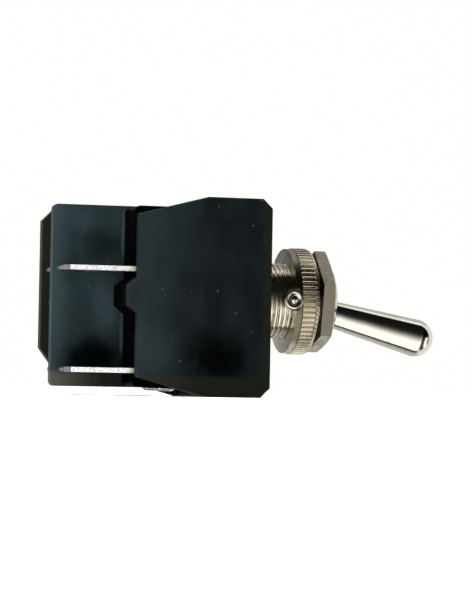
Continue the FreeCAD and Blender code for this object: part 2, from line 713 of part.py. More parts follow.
def hole_in_arm(body):
    """Shank hole of the moving contact, square to the lower arm."""
    reach = size("contact_reach")
    x = size("rocker_rise") + reach * sine(tilt)
    z = -(reach * cosine(tilt))
    sketch = new_sketch(body, "shank_round", "YZ_Plane", 0.0)
    radius = size("contact_shank")
    sketch.addGeometry(Part.Circle(Vector(0, 0, 0), Vector(0, 0, 1), radius.number), False)
    tie(sketch, "DistanceX", (-1, 1, 0, 3), 0.0)
    tie(sketch, "DistanceY", (-1, 1, 0, 3), 0.0)
    tie(sketch, "Radius", (0,), radius)
    # The sketch turns with the arm, about the body's Y axis, which is the sketch's own X axis
    turn = Rotation(Vector(-1, 0, 0), tilt.number)
    sketch.AttachmentOffset = Placement(Vector(0, z.number, x.number), turn)
    bind(sketch, "AttachmentOffset.Rotation.Angle", tilt)
    bind(sketch, "AttachmentOffset.Base.y", z)
    bind(sketch, "AttachmentOffset.Base.z", x)
    pocket(body, "shank_hole", sketch, 4 * size("rocker_thickness"), both=True)


def contact_button(label):
    """Contact rivet along X: its shank fills a strip in front of x = 0, its button stands behind."""
    body = new_body(label)
    radius = size("contact_radius")
    shoulder = -size("strip_thickness")
    face = shoulder - size("contact_height")
    shank = size("contact_shank")
    turned(body, "Revolution", "button", [
        (0, 0), (0, shank), (shoulder, shank), (shoulder, radius), (face, radius), (face, 0),
    ])
    return body


def make_moving_contact(pole):
    """Contact button riveted into the rocker's lower arm."""
    body = contact_button(f"moving_contact_{pole}")
    double = 2 * tilt
    rise = size("rocker_rise")
    reach = size("contact_reach")
    x = fulcrum + rise * cosine(tilt) + reach * sine(double)
    z = rise * sine(tilt) - reach * cosine(double)
    put(body, x=x, y=POLES[pole], z=z, turn=((0, -1, 0), double))
    return body


def make_fixed_contact(pole):
    """Contact button riveted into the leg of the lower terminal, facing the rocker."""
    body = contact_button(f"fixed_contact_{pole}")
    half_turn = Size(180.0, "180")
    put(body, x=lower_leg_back, y=POLES[pole], z=-fixed_contact_height, turn=((0, 0, 1), half_turn))
    return body


def finish_blade(body, tip, height):
    """Tapers a terminal's tip, bevels its edge and pierces its detent hole."""
    half = size("strip_width") / 2
    run = size("blade_tip_run")
    cut = size("blade_tip_cut")
    span = 4 * size("strip_thickness")
    for side, name in ((1, "far"), (-1, "near")):
        corners = [(tip, side * half), (tip + run, side * half), (tip, side * (half - cut))]
        sketch = outline(body, f"{name}_taper_side", "XY_Plane", corners, height)
        pocket(body, f"{name}_taper", sketch, span, both=True)
    centre = (tip + size("blade_hole_inset"), 0)
    hole = circle(body, "detent_round", "XY_Plane", centre, size("blade_hole_radius"), height)
    pocket(body, "detent_hole", hole, span, both=True)

    def at_tip(middle, direction):
        return near(middle.x, tip) and runs_across(direction)

    dress(body, "Chamfer", "tip_bevel", at_tip, "Size", size("blade_edge_bevel"))


def make_upper_terminal(pole):
    """Common terminal: blade, leg and the rounded edge that the rocker tips on."""
    body = new_body(f"upper_terminal_{pole}")
    height = size("upper_blade_height")
    leg_front = fulcrum - size("leg_room") + half_strip
    leg_back = leg_front - size("strip_thickness")
    edge = fulcrum
    side = [
        (upper_tip, height + half_strip), (leg_front, height + half_strip), (leg_front, half_strip),
        (edge, half_strip, half_strip, RIGHT_TURN), (edge + half_strip, 0, half_strip, RIGHT_TURN),
        (edge, -half_strip), (leg_back, -half_strip), (leg_back, height - half_strip),
        (upper_tip, height - half_strip),
    ]
    pad(body, "bent_strip", outline(body, "side", "XZ_Plane", side), size("strip_width"), both=True)
    finish_blade(body, upper_tip, height)
    put(body, y=POLES[pole])
    return body


def make_lower_terminal(pole):
    """Fixed-contact terminal: blade on the chamber's floor and an upright leg."""
    body = new_body(f"lower_terminal_{pole}")
    height = -lower_blade_height
    top = size("contact_radius") + size("leg_margin") - fixed_contact_height
    side = [
        (lower_tip, height - half_strip), (lower_leg_front, height - half_strip), (lower_leg_front, top),
        (lower_leg_back, top), (lower_leg_back, height + half_strip), (lower_tip, height + half_strip),
    ]
    pad(body, "bent_strip", outline(body, "side", "XZ_Plane", side), size("strip_width"), both=True)
    centre = (0, -fixed_contact_height)
    shank = circle(body, "shank_round", "YZ_Plane", centre, size("contact_shank"), lower_leg_back)
    pocket(body, "shank_hole", shank, 2 * size("strip_thickness"), reverse=True)
    rivet = circle(body, "rivet_round", "XY_Plane", (rivet_middle, 0), size("rivet_radius"), height)
    pocket(body, "rivet_hole", rivet, 4 * size("strip_thickness"), both=True)
    finish_blade(body, lower_tip, height)
    put(body, y=POLES[pole])
    return body


def make_terminal_rivet(pole):
    """Rivet that clamps a lower terminal to the tray's floor, with a domed head outside."""
    body = new_body(f"terminal_rivet_{pole}")
    head = size("rivet_head_radius")
    rise = size("rivet_head_height")
    shank = size("rivet_radius")
    outside = -block_half
    inside = half_strip - lower_blade_height
    edge = size("rivet_bevel")
    clinched = rise - edge
    # Modelled along X, then turned so that X points up
    turned(body, "Revolution", "rivet", [
        (outside - rise, 0), (outside - rise, head - 2 * edge), (outside - edge, head), (outside, head),
        (outside, shank), (inside, shank), (inside, head - edge), (inside + clinched, head - edge),
        (inside + clinched, 0),
    ])
    quarter_turn = Size(90.0, "90")
    put(body, x=rivet_middle, y=POLES[pole], turn=((0, -1, 0), quarter_turn))
    return body


# Mounting hardware

def make_locating_washer():
    """Flat washer with a key in the keyway and a half-round tab bent back beside the bushing."""
    body = new_body("locating_washer")
    start = size("washer_start")
    thick = size("washer_thickness")
    turned(body, "Revolution", "disc", [
        (start, nut_bore), (start + thick, nut_bore), (start + thick, washer_radius), (start, washer_radius),
    ])
    half = size("keyway_width") / 2 - size("fit_gap")
    tip = -(size("thread_radius") - size("keyway_depth")) - size("fit_gap")
    key_root = -(nut_bore + size("washer_rim") / 2)
    key = outline(body, "key_end", "YZ_Plane", box_corners(-half, half, key_root, tip), start)
    pad(body, "key", key, thick)
    half = size("tab_width") / 2
    tab_end = start - size("tab_reach")
    flat_end = start + thick / 2
    tab = [
        (flat_end, -half), (flat_end, half), (tab_end + half, half, half, LEFT_TURN),
        (tab_end, 0, half, LEFT_TURN), (tab_end + half, -half),
    ]
    inside = washer_radius - size("tab_thickness")
    pad(body, "tab", outline(body, "tab_side", "XZ_Plane", tab, inside), size("tab_thickness"))
    centre = (tab_end + half, 0)
    dimple = circle(body, "dimple_round", "XZ_Plane", centre, size("dimple_radius"), washer_radius)
    pocket(body, "dimple", dimple, size("dimple_depth"))
    return body


def make_knurled_ring():
    """Round nut with ridges along its rim and a plain lip at its front."""
    body = new_body("knurled_ring")
    start, end = ring_start, ring_end
    lip = ring_radius - size("ridge_depth") / 2
    turned(body, "Revolution", "blank", [
        (start, nut_bore), (end, nut_bore), (end, lip), (end - size("ring_lip"), lip),
        (end - size("ring_lip"), ring_radius), (start, ring_radius),
    ])
    depth = size("ridge_depth")
    over = depth / 3
    half = size("groove_width") / 2 * (depth + over) / depth
    groove = [(-half, ring_radius + over), (0, ring_radius - depth), (half, ring_radius + over)]
    sketch = outline(body, "groove_end", "YZ_Plane", groove, start)
    cut = pocket(body, "groove", sketch, size("ring_width") - size("ring_lip"), reverse=True)
    pattern = body.newObject("PartDesign::PolarPattern", "ridges")
    pattern.Originals = [cut]
    pattern.Axis = (origin_item(body, "X_Axis"), [""])
    pattern.Angle = 360.0
    bind(pattern, "Occurrences", size("ridge_count"))
    body.Tip = pattern
    doc.recompute()
    return body


def make_hex_nut():
    """Thin hexagon nut with its corners bevelled on the front face."""
    body = new_body("hex_nut")
    start, end = nut_start, nut_end
    flat = size("thread_radius") + size("nut_wall")
    sixth = Size(60.0, "60")
    reach = flat / cosine(sixth / 2)
    corners = [(-(reach * cosine(sixth * k)), reach * sine(sixth * k)) for k in range(6)]
    pad(body, "prism", outline(body, "hexagon", "YZ_Plane", corners, start), size("nut_thickness"))
    bevel = size("nut_bevel")
    outside = reach + beyond
    slope = (outside - flat) / (reach - flat)
    drop = bevel * slope
    turned(body, "Groove", "front_bevel", [(end, flat), (end - drop, outside), (end, outside)])
    lead = size("nut_lead")
    turned(body, "Groove", "bore", [
        (start, 0), (end, 0), (end, nut_bore + lead), (end - lead, nut_bore), (start, nut_bore),
    ])
    put(body, turn=((-1, 0, 0), size("nut_turn")))
    return body


def make_all():
    pieces = [make_cover(), make_bushing(), make_pivot_pin(), make_lever(), make_actuator()]
    for pole in POLES:
        pieces += [make_tray(pole), make_plunger(pole), make_plunger_spring(pole), make_rocker(pole)]
        pieces += [make_moving_contact(pole), make_fixed_contact(pole)]
        pieces += [make_upper_terminal(pole), make_lower_terminal(pole), make_terminal_rivet(pole)]
    pieces += [make_locating_washer(), make_knurled_ring(), make_hex_nut()]
    return pieces


def check(pieces):
    """Stops if any object failed to build or any piece is not a sound solid."""
    for item in doc.Objects:
        if "Invalid" in item.State or "Error" in item.State:
            raise RuntimeError(f"{item.Label} failed: {item.State}")
    for piece in pieces:
        if piece.Shape.isNull() or not piece.Shape.isValid() or len(piece.Shape.Solids) != 1:
            raise RuntimeError(f"{piece.Label} is not one sound solid")


def main():
    pieces = make_all()
    doc.recompute()
    check(pieces)
    os.makedirs("parts", exist_ok=True)
    for piece in pieces:
        piece.Shape.exportStep(f"parts/{piece.Label}.step")
        box = piece.Shape.BoundBox
        print(f"{piece.Label:22s} {piece.Shape.Volume:9.2f} mm3  x {box.XMin:7.2f} {box.XMax:7.2f}"
              f"  y {box.YMin:7.2f} {box.YMax:7.2f}  z {box.ZMin:7.2f} {box.ZMax:7.2f}")


main()
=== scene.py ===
"""Two-pole toggle switch: finishes, turned and threaded hardware, light and camera."""

import json
import logging
import math
from collections.abc import Callable
from dataclasses import dataclass
from enum import Enum

import bmesh
import bpy
from mathutils import Matrix, Vector

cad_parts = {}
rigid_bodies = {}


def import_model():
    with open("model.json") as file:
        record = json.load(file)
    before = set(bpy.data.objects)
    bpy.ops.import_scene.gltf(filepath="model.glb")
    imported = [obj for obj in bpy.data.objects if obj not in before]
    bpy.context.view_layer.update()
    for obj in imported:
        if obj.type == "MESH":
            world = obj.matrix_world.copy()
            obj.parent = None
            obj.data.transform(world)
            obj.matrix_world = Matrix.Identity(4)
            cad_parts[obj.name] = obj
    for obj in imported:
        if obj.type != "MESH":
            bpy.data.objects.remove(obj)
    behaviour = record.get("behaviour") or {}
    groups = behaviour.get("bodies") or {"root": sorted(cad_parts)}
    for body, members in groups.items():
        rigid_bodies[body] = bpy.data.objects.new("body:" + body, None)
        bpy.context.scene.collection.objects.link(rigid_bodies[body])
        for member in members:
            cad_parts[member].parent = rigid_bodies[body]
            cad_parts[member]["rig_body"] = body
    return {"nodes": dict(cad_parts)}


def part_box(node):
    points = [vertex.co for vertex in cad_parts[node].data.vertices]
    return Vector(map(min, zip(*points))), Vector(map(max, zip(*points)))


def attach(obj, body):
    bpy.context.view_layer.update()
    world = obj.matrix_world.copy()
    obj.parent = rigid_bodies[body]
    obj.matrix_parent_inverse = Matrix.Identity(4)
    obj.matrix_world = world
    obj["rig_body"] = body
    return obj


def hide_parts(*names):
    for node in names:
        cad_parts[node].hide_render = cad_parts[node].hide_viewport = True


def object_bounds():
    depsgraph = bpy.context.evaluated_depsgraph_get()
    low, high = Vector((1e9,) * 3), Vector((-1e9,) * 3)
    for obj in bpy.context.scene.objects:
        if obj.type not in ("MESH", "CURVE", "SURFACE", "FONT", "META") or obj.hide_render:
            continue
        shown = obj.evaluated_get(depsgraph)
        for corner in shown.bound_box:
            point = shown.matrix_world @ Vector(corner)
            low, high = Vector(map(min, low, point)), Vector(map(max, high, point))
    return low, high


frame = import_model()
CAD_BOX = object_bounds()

log = logging.getLogger("toggle_switch")

Pair = tuple[float, float]
Triple = tuple[float, float, float]
Colour = Triple
Piece = bpy.types.Object
Mesh = bpy.types.Mesh
Paint = bpy.types.Material

MM = 0.001
POLES = ("near", "far")
EVEN: Triple = (1.0, 1.0, 1.0)
OFF_MM = 50.0  # a place beyond the switch, for a strip that a moulding lacks
SPECK_LOT = 0.72  # cells that draw more than this hold a speck
WELD_MM = 0.0005
FLAT_DEG = 0.4  # faces that bend by less are made one
ROUNDED_DEG = 35.0  # edges that bend by more are rounded
CREASE_DEG = 30.0
TINY = 1e-6


class Slot(Enum):
    """The record's material slots that the new pieces take their finish from."""

    HOUSING = "housing_black"
    TRAY = "tray_black"
    NICKEL = "nickel"
    LEVER = "lever_nickel"
    TIN = "tin"
    STEEL = "steel"


# Node trees


class Field:
    """One output socket, with the arithmetic of a node tree."""

    def __init__(self, graph: "Graph", socket: bpy.types.NodeSocket) -> None:
        """Keeps the graph and its socket."""
        self.graph = graph
        self.socket = socket

    def __add__(self, other: "Field | float") -> "Field":
        """Sum of two fields."""
        return self.graph.math("ADD", self, other)

    def __sub__(self, other: "Field | float") -> "Field":
        """Difference of two fields."""
        return self.graph.math("SUBTRACT", self, other)

    def __mul__(self, other: "Field | float") -> "Field":
        """Product of two fields."""
        return self.graph.math("MULTIPLY", self, other)

    def __truediv__(self, other: "Field | float") -> "Field":
        """Ratio of two fields."""
        return self.graph.math("DIVIDE", self, other)


class Graph:
    """Adds nodes to a node tree and links them."""

    def __init__(self, tree: bpy.types.NodeTree) -> None:
        """Keeps the tree."""
        self.tree = tree

    def node(self, kind: str, sockets: dict | None = None, **settings: object) -> bpy.types.Node:
        """Adds one node.

        Args:
            kind: The node's type name.
            sockets: Input values or fields, by socket name or number.
            settings: Properties of the node itself.

        Returns:
            The node.
        """
        made = self.tree.nodes.new(kind)
        for name, value in settings.items():
            setattr(made, name, value)
        for key, value in (sockets or {}).items():
            self.feed(made.inputs[key], value)
        return made

    def feed(self, target: bpy.types.NodeSocket, value: object) -> None:
        """Fills an input socket.

        Args:
            target: The socket.
            value: A field to link, or the socket's own value.
        """
        if isinstance(value, Field):
            self.tree.links.new(value.socket, target)
        else:
            target.default_value = value

    def out(self, node: bpy.types.Node, name: str | int = 0) -> Field:
        """An output of a node as a field."""
        return Field(self, node.outputs[name])

    def math(self, operation: str, *values: Field | float) -> Field:
        """Result of a Math node on the given values."""
        return self.out(self.node("ShaderNodeMath", dict(enumerate(values)), operation=operation))

    def between(
        self, value: Field, low: Field | float, high: Field | float, first: float = 0.0, last: float = 1.0
    ) -> Field:
        """Value carried smoothly from low..high to first..last and held there."""
        inputs = {"Value": value, "From Min": low, "From Max": high, "To Min": first, "To Max": last}
        return self.out(self.node("ShaderNodeMapRange", inputs, interpolation_type="SMOOTHSTEP"))

    def parts(self, vector: Field) -> tuple[Field, ...]:
        """The three components of a vector."""
        made = self.node("ShaderNodeSeparateXYZ", {0: vector})
        return tuple(self.out(made, axis) for axis in range(3))


@dataclass(frozen=True)
class Noise:
    """Fractal noise: features in a millimetre, octaves, and the share of features along each axis."""

    per_mm: float
    detail: float = 3.0
    stretch: Triple = EVEN
    roughness: float = 0.6


class ShaderGraph(Graph):
    """The nodes of one material, in millimetres of the object's own coordinates."""

    def __init__(self, name: str) -> None:
        """Adds a material and starts from its own surface shader.

        Args:
            name: Name of the material.
        """
        self.material = bpy.data.materials.new(name)
        self.material.use_nodes = True
        super().__init__(self.material.node_tree)
        self.shader = self.tree.nodes["Principled BSDF"]
        place = self.out(self.node("ShaderNodeTexCoord"), "Object")
        self.place = self.stretched(place, (1 / MM, 1 / MM, 1 / MM))

    def stretched(self, place: Field, scale: Triple) -> Field:
        """Coordinates scaled along each axis."""
        inputs = {"Vector": place, "Scale": scale}
        return place if scale == EVEN else self.out(self.node("ShaderNodeMapping", inputs))

    def noise(self, kind: Noise) -> Field:
        """Noise over the surface.

        Args:
            kind: Its scale, detail and stretch.

        Returns:
            The noise, round one half.
        """
        place = self.stretched(self.place, kind.stretch)
        inputs = {"Vector": place, "Scale": kind.per_mm, "Detail": kind.detail, "Roughness": kind.roughness}
        return self.out(self.node("ShaderNodeTexNoise", inputs))

    def specks(self, per_mm: float, radius: float) -> Field:
        """Sparse small round specks.

        Args:
            per_mm: Cells in a millimetre.
            radius: Radius of a speck, in cells.

        Returns:
            One in the specks, zero between them.
        """
        cells = self.node("ShaderNodeTexVoronoi", {"Vector": self.place, "Scale": per_mm, "Randomness": 1.0})
        lot = self.out(self.node("ShaderNodeSeparateColor", {0: self.out(cells, "Color")}))
        inside = self.math("LESS_THAN", self.out(cells, "Distance"), radius)
        return inside * self.math("GREATER_THAN", lot, SPECK_LOT)

    def facing(self) -> Field:
        """Direction that the flat face looks in."""
        return self.out(self.node("ShaderNodeNewGeometry"), "True Normal")

    def spot(self, patch: "HazeAndLightPatch") -> Field:
        """Soft ragged oval in the X-Z plane.

        Args:
            patch: Its place and size.

        Returns:
            One in its core, zero at its rim.
        """
        (x, z), (width, height) = patch.centre, patch.half
        inputs = {
            "Vector": self.place, "Location": (-x / width, 0.0, -z / height),
            "Scale": (1 / width, 0.0, 1 / height),
        }
        placed = self.out(self.node("ShaderNodeMapping", inputs))
        reach = self.out(self.node("ShaderNodeVectorMath", {0: placed}, operation="LENGTH"), "Value")
        ragged = (self.noise(patch.rag) - 0.5) * patch.rag_reach
        return self.between(reach + ragged, patch.core, 1.0, 1.0, 0.0)

    def blend(self, share: Field, first: Colour | Field, last: Colour | Field) -> Field:
        """Colour between two others.

        Args:
            share: Share of the last one.
            first: Colour at a share of zero.
            last: Colour at a share of one.

        Returns:
            The colour.
        """
        made = self.node("ShaderNodeMix", data_type="RGBA")
        for socket, value in ((made.inputs[0], share), (made.inputs[6], first), (made.inputs[7], last)):
            self.feed(socket, (*value, 1.0) if isinstance(value, tuple) else value)
        return self.out(made, 2)

    def bump(self, height: Field, depth_mm: float, base: Field | None = None) -> Field:
        """Normals of a raised surface.

        Args:
            height: Where it is raised, from 0 to 1.
            depth_mm: How far it is raised at 1.
            base: An earlier bump that it lies on.

        Returns:
            The normals.
        """
        inputs = {"Height": height, "Distance": depth_mm * MM, "Strength": 1.0}
        if base is not None:
            inputs["Normal"] = base
        return self.out(self.node("ShaderNodeBump", inputs))

    def finish(self, **inputs: object) -> None:
        """Feeds the surface shader's sockets, with spaces written as underscores."""
        for name, value in inputs.items():
            self.feed(self.shader.inputs[name.replace("_", " ")], value)


# Finishes


@dataclass(frozen=True)
class HazeAndLightPatch:
    """Soft ragged oval on a moulding's side, in millimetres, paler or darker than round it: haze, painted
    highlight and painted shade.
    """

    centre: Pair
    half: Pair
    haze_and_light: float
    core: float = 0.5
    rag: Noise = Noise(0.3, 4.0)
    rag_reach: float = 0.9


@dataclass(frozen=True)
class MouldedPlastic:
    """Black thermoset moulding: fine grain, faint flow marks, handling haze with painted highlight and shade,
    strips of painted warm reflection, and dust.
    """

    name: str
    dark: Colour
    pale: Colour
    gloss: float
    even_haze: float = 0.2
    drift_haze: float = 0.2
    # The tone grows paler towards the rear.
    paler_to_rear: float = 0.6
    rear_x_mm: Pair = (-5.0, -29.0)
    haze_and_light_patches: tuple[HazeAndLightPatch, ...] = ()
    clouds: Noise = Noise(0.11, 2.0)
    flow: Noise = Noise(0.5, stretch=(1.0, 1.0, 0.25))
    cloud_share: float = 0.6
    drift_range: Pair = (0.36, 0.66)
    # Painted warm reflection: strips low down and at the front take these colours, paler at the rear.
    warm_reflection_rear: Colour = (0.02, 0.02, 0.02)
    warm_reflection_front: Colour = (0.01, 0.01, 0.01)
    warm_reflection_x_mm: Pair = (-20.0, -10.0)
    warm_reflection_top_mm: float = -12.4
    warm_reflection_front_mm: float = OFF_MM
    warm_reflection_soft_mm: float = 0.4
    shine: float = 0.42
    shine_drift: Noise = Noise(0.8, 4.0)
    shine_range: Pair = (0.3, 0.75)
    shine_spread: Pair = (-0.03, 0.05)
    grain: Noise = Noise(7.0)
    grain_mm: float = 0.004
    swell: Noise = Noise(0.15, 1.0)
    swell_mm: float = 0.03
    sheen: Colour = (0.78, 1.0, 1.04)
    dust: Colour = (0.09, 0.095, 0.093)
    dust_per_mm: float = 0.7
    dust_radius: float = 0.075

    def haze_and_light(self, graph: ShaderGraph, along: Field) -> Field:
        """Share of haze and of painted highlight and shade over the moulding.

        Args:
            graph: The material's nodes.
            along: Place along the X axis.

        Returns:
            The share, from 0 to about 1.
        """
        mixed = graph.noise(self.clouds) * self.cloud_share
        mixed = mixed + graph.noise(self.flow) * (1.0 - self.cloud_share)
        share = graph.between(mixed, *self.drift_range) * self.drift_haze
        share = share + graph.between(along, *self.rear_x_mm) * self.paler_to_rear + self.even_haze
        for patch in self.haze_and_light_patches:
            spot = graph.spot(patch) * patch.haze_and_light
            share = share + spot if patch.haze_and_light > 0 else share * (spot + 1.0)
        return share

    def build(self) -> Paint:
        """Lays haze with painted highlight and shade, strips of painted warm reflection, and dust over the
        moulding.

        Returns:
            The material.
        """
        graph = ShaderGraph(self.name)
        along, _, height = graph.parts(graph.place)
        colour = graph.blend(self.haze_and_light(graph, along), self.dark, self.pale)
        # Painted warm reflection: below a height and in front of a place the colour turns warm.
        soft = self.warm_reflection_soft_mm
        low = graph.between(height, self.warm_reflection_top_mm - soft, self.warm_reflection_top_mm + soft, 1.0, 0.0)
        front = graph.between(along, self.warm_reflection_front_mm - 2 * soft, self.warm_reflection_front_mm + soft)
        warm_reflection = graph.blend(graph.between(along, *self.warm_reflection_x_mm), self.warm_reflection_rear, self.warm_reflection_front)
        colour = graph.blend(graph.math("MAXIMUM", low, front), colour, warm_reflection)
        shine = (self.shine + spread for spread in self.shine_spread)
        grain = graph.bump(graph.noise(self.grain), self.grain_mm)
        graph.finish(
            Base_Color=graph.blend(graph.specks(self.dust_per_mm, self.dust_radius), colour, self.dust),
            Roughness=graph.between(graph.noise(self.shine_drift), *self.shine_range, *shine),
            Normal=graph.bump(graph.noise(self.swell), self.swell_mm, grain),
            Specular_IOR_Level=self.gloss,
            Specular_Tint=(*self.sheen, 1.0),
        )
        return graph.material


@dataclass(frozen=True)
class PlatedMetal:
    """Nickel plating: warm tone, drifting gloss, drawn lines and small dull spots; optionally painted light
    on the lower half and painted shade on faces turned to the front.
    """

    name: str
    light: Colour
    dull: Colour
    gloss: float = 0.16
    worn: float = 0.34
    gloss_range: Pair = (0.3, 0.72)
    drift: Noise = Noise(0.35)
    mottle: Noise = Noise(2.4, 5.0)
    mottling: float = 0.5
    tone_range: Pair = (0.34, 0.68)
    lines: Noise = Noise(3.0, 4.0, (3.0, 1.0, 1.0))
    line_mm: float = 0.002
    pits: Noise = Noise(4.5, 2.0)
    pit_range: Pair = (0.62, 0.7)
    pits_mm: float = 0.004
    # Painted light and shade: a lighter lower half, and darker faces turned to the front.
    painted_light_below: float = 0.0
    painted_light_z_mm: Pair = (-6.5, 6.5)
    front_shade: float = 0.0
    front_shade_facing: Pair = (-0.75, -0.5)

    def build(self) -> Paint:
        """Lays tone with its painted light and shade, gloss, lines and spots over the metal.

        Returns:
            The material.
        """
        graph = ShaderGraph(self.name)
        drift, mottle = graph.noise(self.drift), graph.noise(self.mottle)
        tone = graph.between(drift * (1.0 - self.mottling) + mottle * self.mottling, *self.tone_range)
        # Painted light and shade: the tone is lighter low down and darker high up.
        if self.painted_light_below:
            low = graph.between(graph.parts(graph.place)[2], *self.painted_light_z_mm, 1.0, 0.0)
            tone = tone * (1.0 - self.painted_light_below) + low * self.painted_light_below
        # Painted shade: faces turned to the front are darker.
        if self.front_shade:
            side = graph.between(graph.parts(graph.facing())[1], *self.front_shade_facing, 1.0, 0.0)
            tone = tone * (side * -self.front_shade + 1.0)
        lines = graph.bump(graph.noise(self.lines), self.line_mm)
        graph.finish(
            Base_Color=graph.blend(tone, self.dull, self.light),
            Roughness=graph.between(mottle, *self.gloss_range, self.gloss, self.worn),
            Normal=graph.bump(graph.between(graph.noise(self.pits), *self.pit_range), -self.pits_mm, lines),
            Metallic=1.0,
        )
        return graph.material


@dataclass(frozen=True)
class ShearedTin:
    """Tinned strip: smooth on its rolled faces, torn and speckled on its sheared edges, with painted shade on
    the slanted faces of its tip.
    """

    name: str
    rolled: Colour
    torn: Colour
    grey: Colour
    # Painted shade: the colour of the slanted faces of the tip.
    dark: Colour
    stain: Colour
    stain_start_mm: float
    stain_soft_mm: float = 0.9
    stain_wander_mm: float = 1.5
    stain_share: float = 0.9
    edge_facing: Pair = (0.86, 0.95)
    slant_facing: Pair = (0.4, 0.6)
    crumbs: Noise = Noise(2.6, 5.0, (0.8, 1.0, 1.2))
    crumb_share: float = 0.4
    flecks: Noise = Noise(4.5, 4.0)
    fleck_range: Pair = (0.49, 0.56)
    fleck_share: float = 0.7
    bright_z_mm: Pair = (-8.0, -2.0)
    drift: Noise = Noise(0.6)
    drift_range: Pair = (0.35, 0.7)
    tears: Noise = Noise(2.2, 4.0, (1.0, 1.0, 2.4))
    tears_mm: float = 0.12
    fine: Noise = Noise(7.0, stretch=(0.5, 2.0, 1.0))
    fine_mm: float = 0.006
    rough: tuple[float, float, float, float] = (0.1, 1.1, 0.3, 0.72)
    edge_metal: float = 0.12

    def build(self) -> Paint:
        """Tells the sheared edges from the rolled faces and paints both, with painted shade on the slanted
        faces.

        Returns:
            The material.
        """
        graph = ShaderGraph(self.name)
        sideways = graph.math("ABSOLUTE", graph.parts(graph.facing())[1])
        edge = graph.between(sideways, *self.edge_facing)
        slanted = graph.between(sideways, *self.edge_facing, 1.0, 0.0)
        slanted = graph.between(sideways, *self.slant_facing) * slanted
        along, _, height = graph.parts(graph.place)
        crumbs = graph.noise(self.crumbs)
        mixed = crumbs * self.crumb_share + graph.noise(self.flecks) * (1.0 - self.crumb_share)
        flecked = graph.between(mixed, *self.fleck_range)
        stain_end = self.stain_start_mm + self.stain_soft_mm
        near_root = graph.between(along + crumbs * self.stain_wander_mm, self.stain_start_mm, stain_end)
        torn = graph.blend(graph.between(height, *self.bright_z_mm), self.torn, self.rolled)
        torn = graph.blend(flecked * self.fleck_share, torn, self.grey)
        torn = graph.blend(near_root * self.stain_share, torn, self.stain)
        drift = graph.noise(self.drift)
        flat = graph.blend(graph.between(drift, *self.drift_range), self.rolled, self.grey)
        # Painted shade: the slanted faces of the tip are painted dark.
        flat = graph.blend(slanted, flat, self.dark)
        tears = graph.bump(graph.noise(self.tears) * edge, self.tears_mm)
        graph.finish(
            Base_Color=graph.blend(edge, flat, torn),
            Roughness=graph.between(edge + drift * 0.2, *self.rough),
            Metallic=graph.between(edge, 0.0, 1.0, 1.0, self.edge_metal),
            Normal=graph.bump(graph.noise(self.fine), self.fine_mm, tears),
        )
        return graph.material


@dataclass(frozen=True)
class PlainFloor:
    """Pale matt floor with a trace of unevenness."""

    name: str = "floor_paint"
    tone: Colour = (0.88, 0.885, 0.89)
    faint: float = 0.985
    drift: Noise = Noise(0.02, 2.0)
    drift_range: Pair = (0.3, 0.7)

    def build(self) -> Paint:
        """Paints the floor.

        Returns:
            The material.
        """
        graph = ShaderGraph(self.name)
        share = graph.between(graph.noise(self.drift), *self.drift_range)
        faint = tuple(value * self.faint for value in self.tone)
        graph.finish(Base_Color=graph.blend(share, self.tone, faint), Roughness=0.75, Specular_IOR_Level=0.2)
        return graph.material


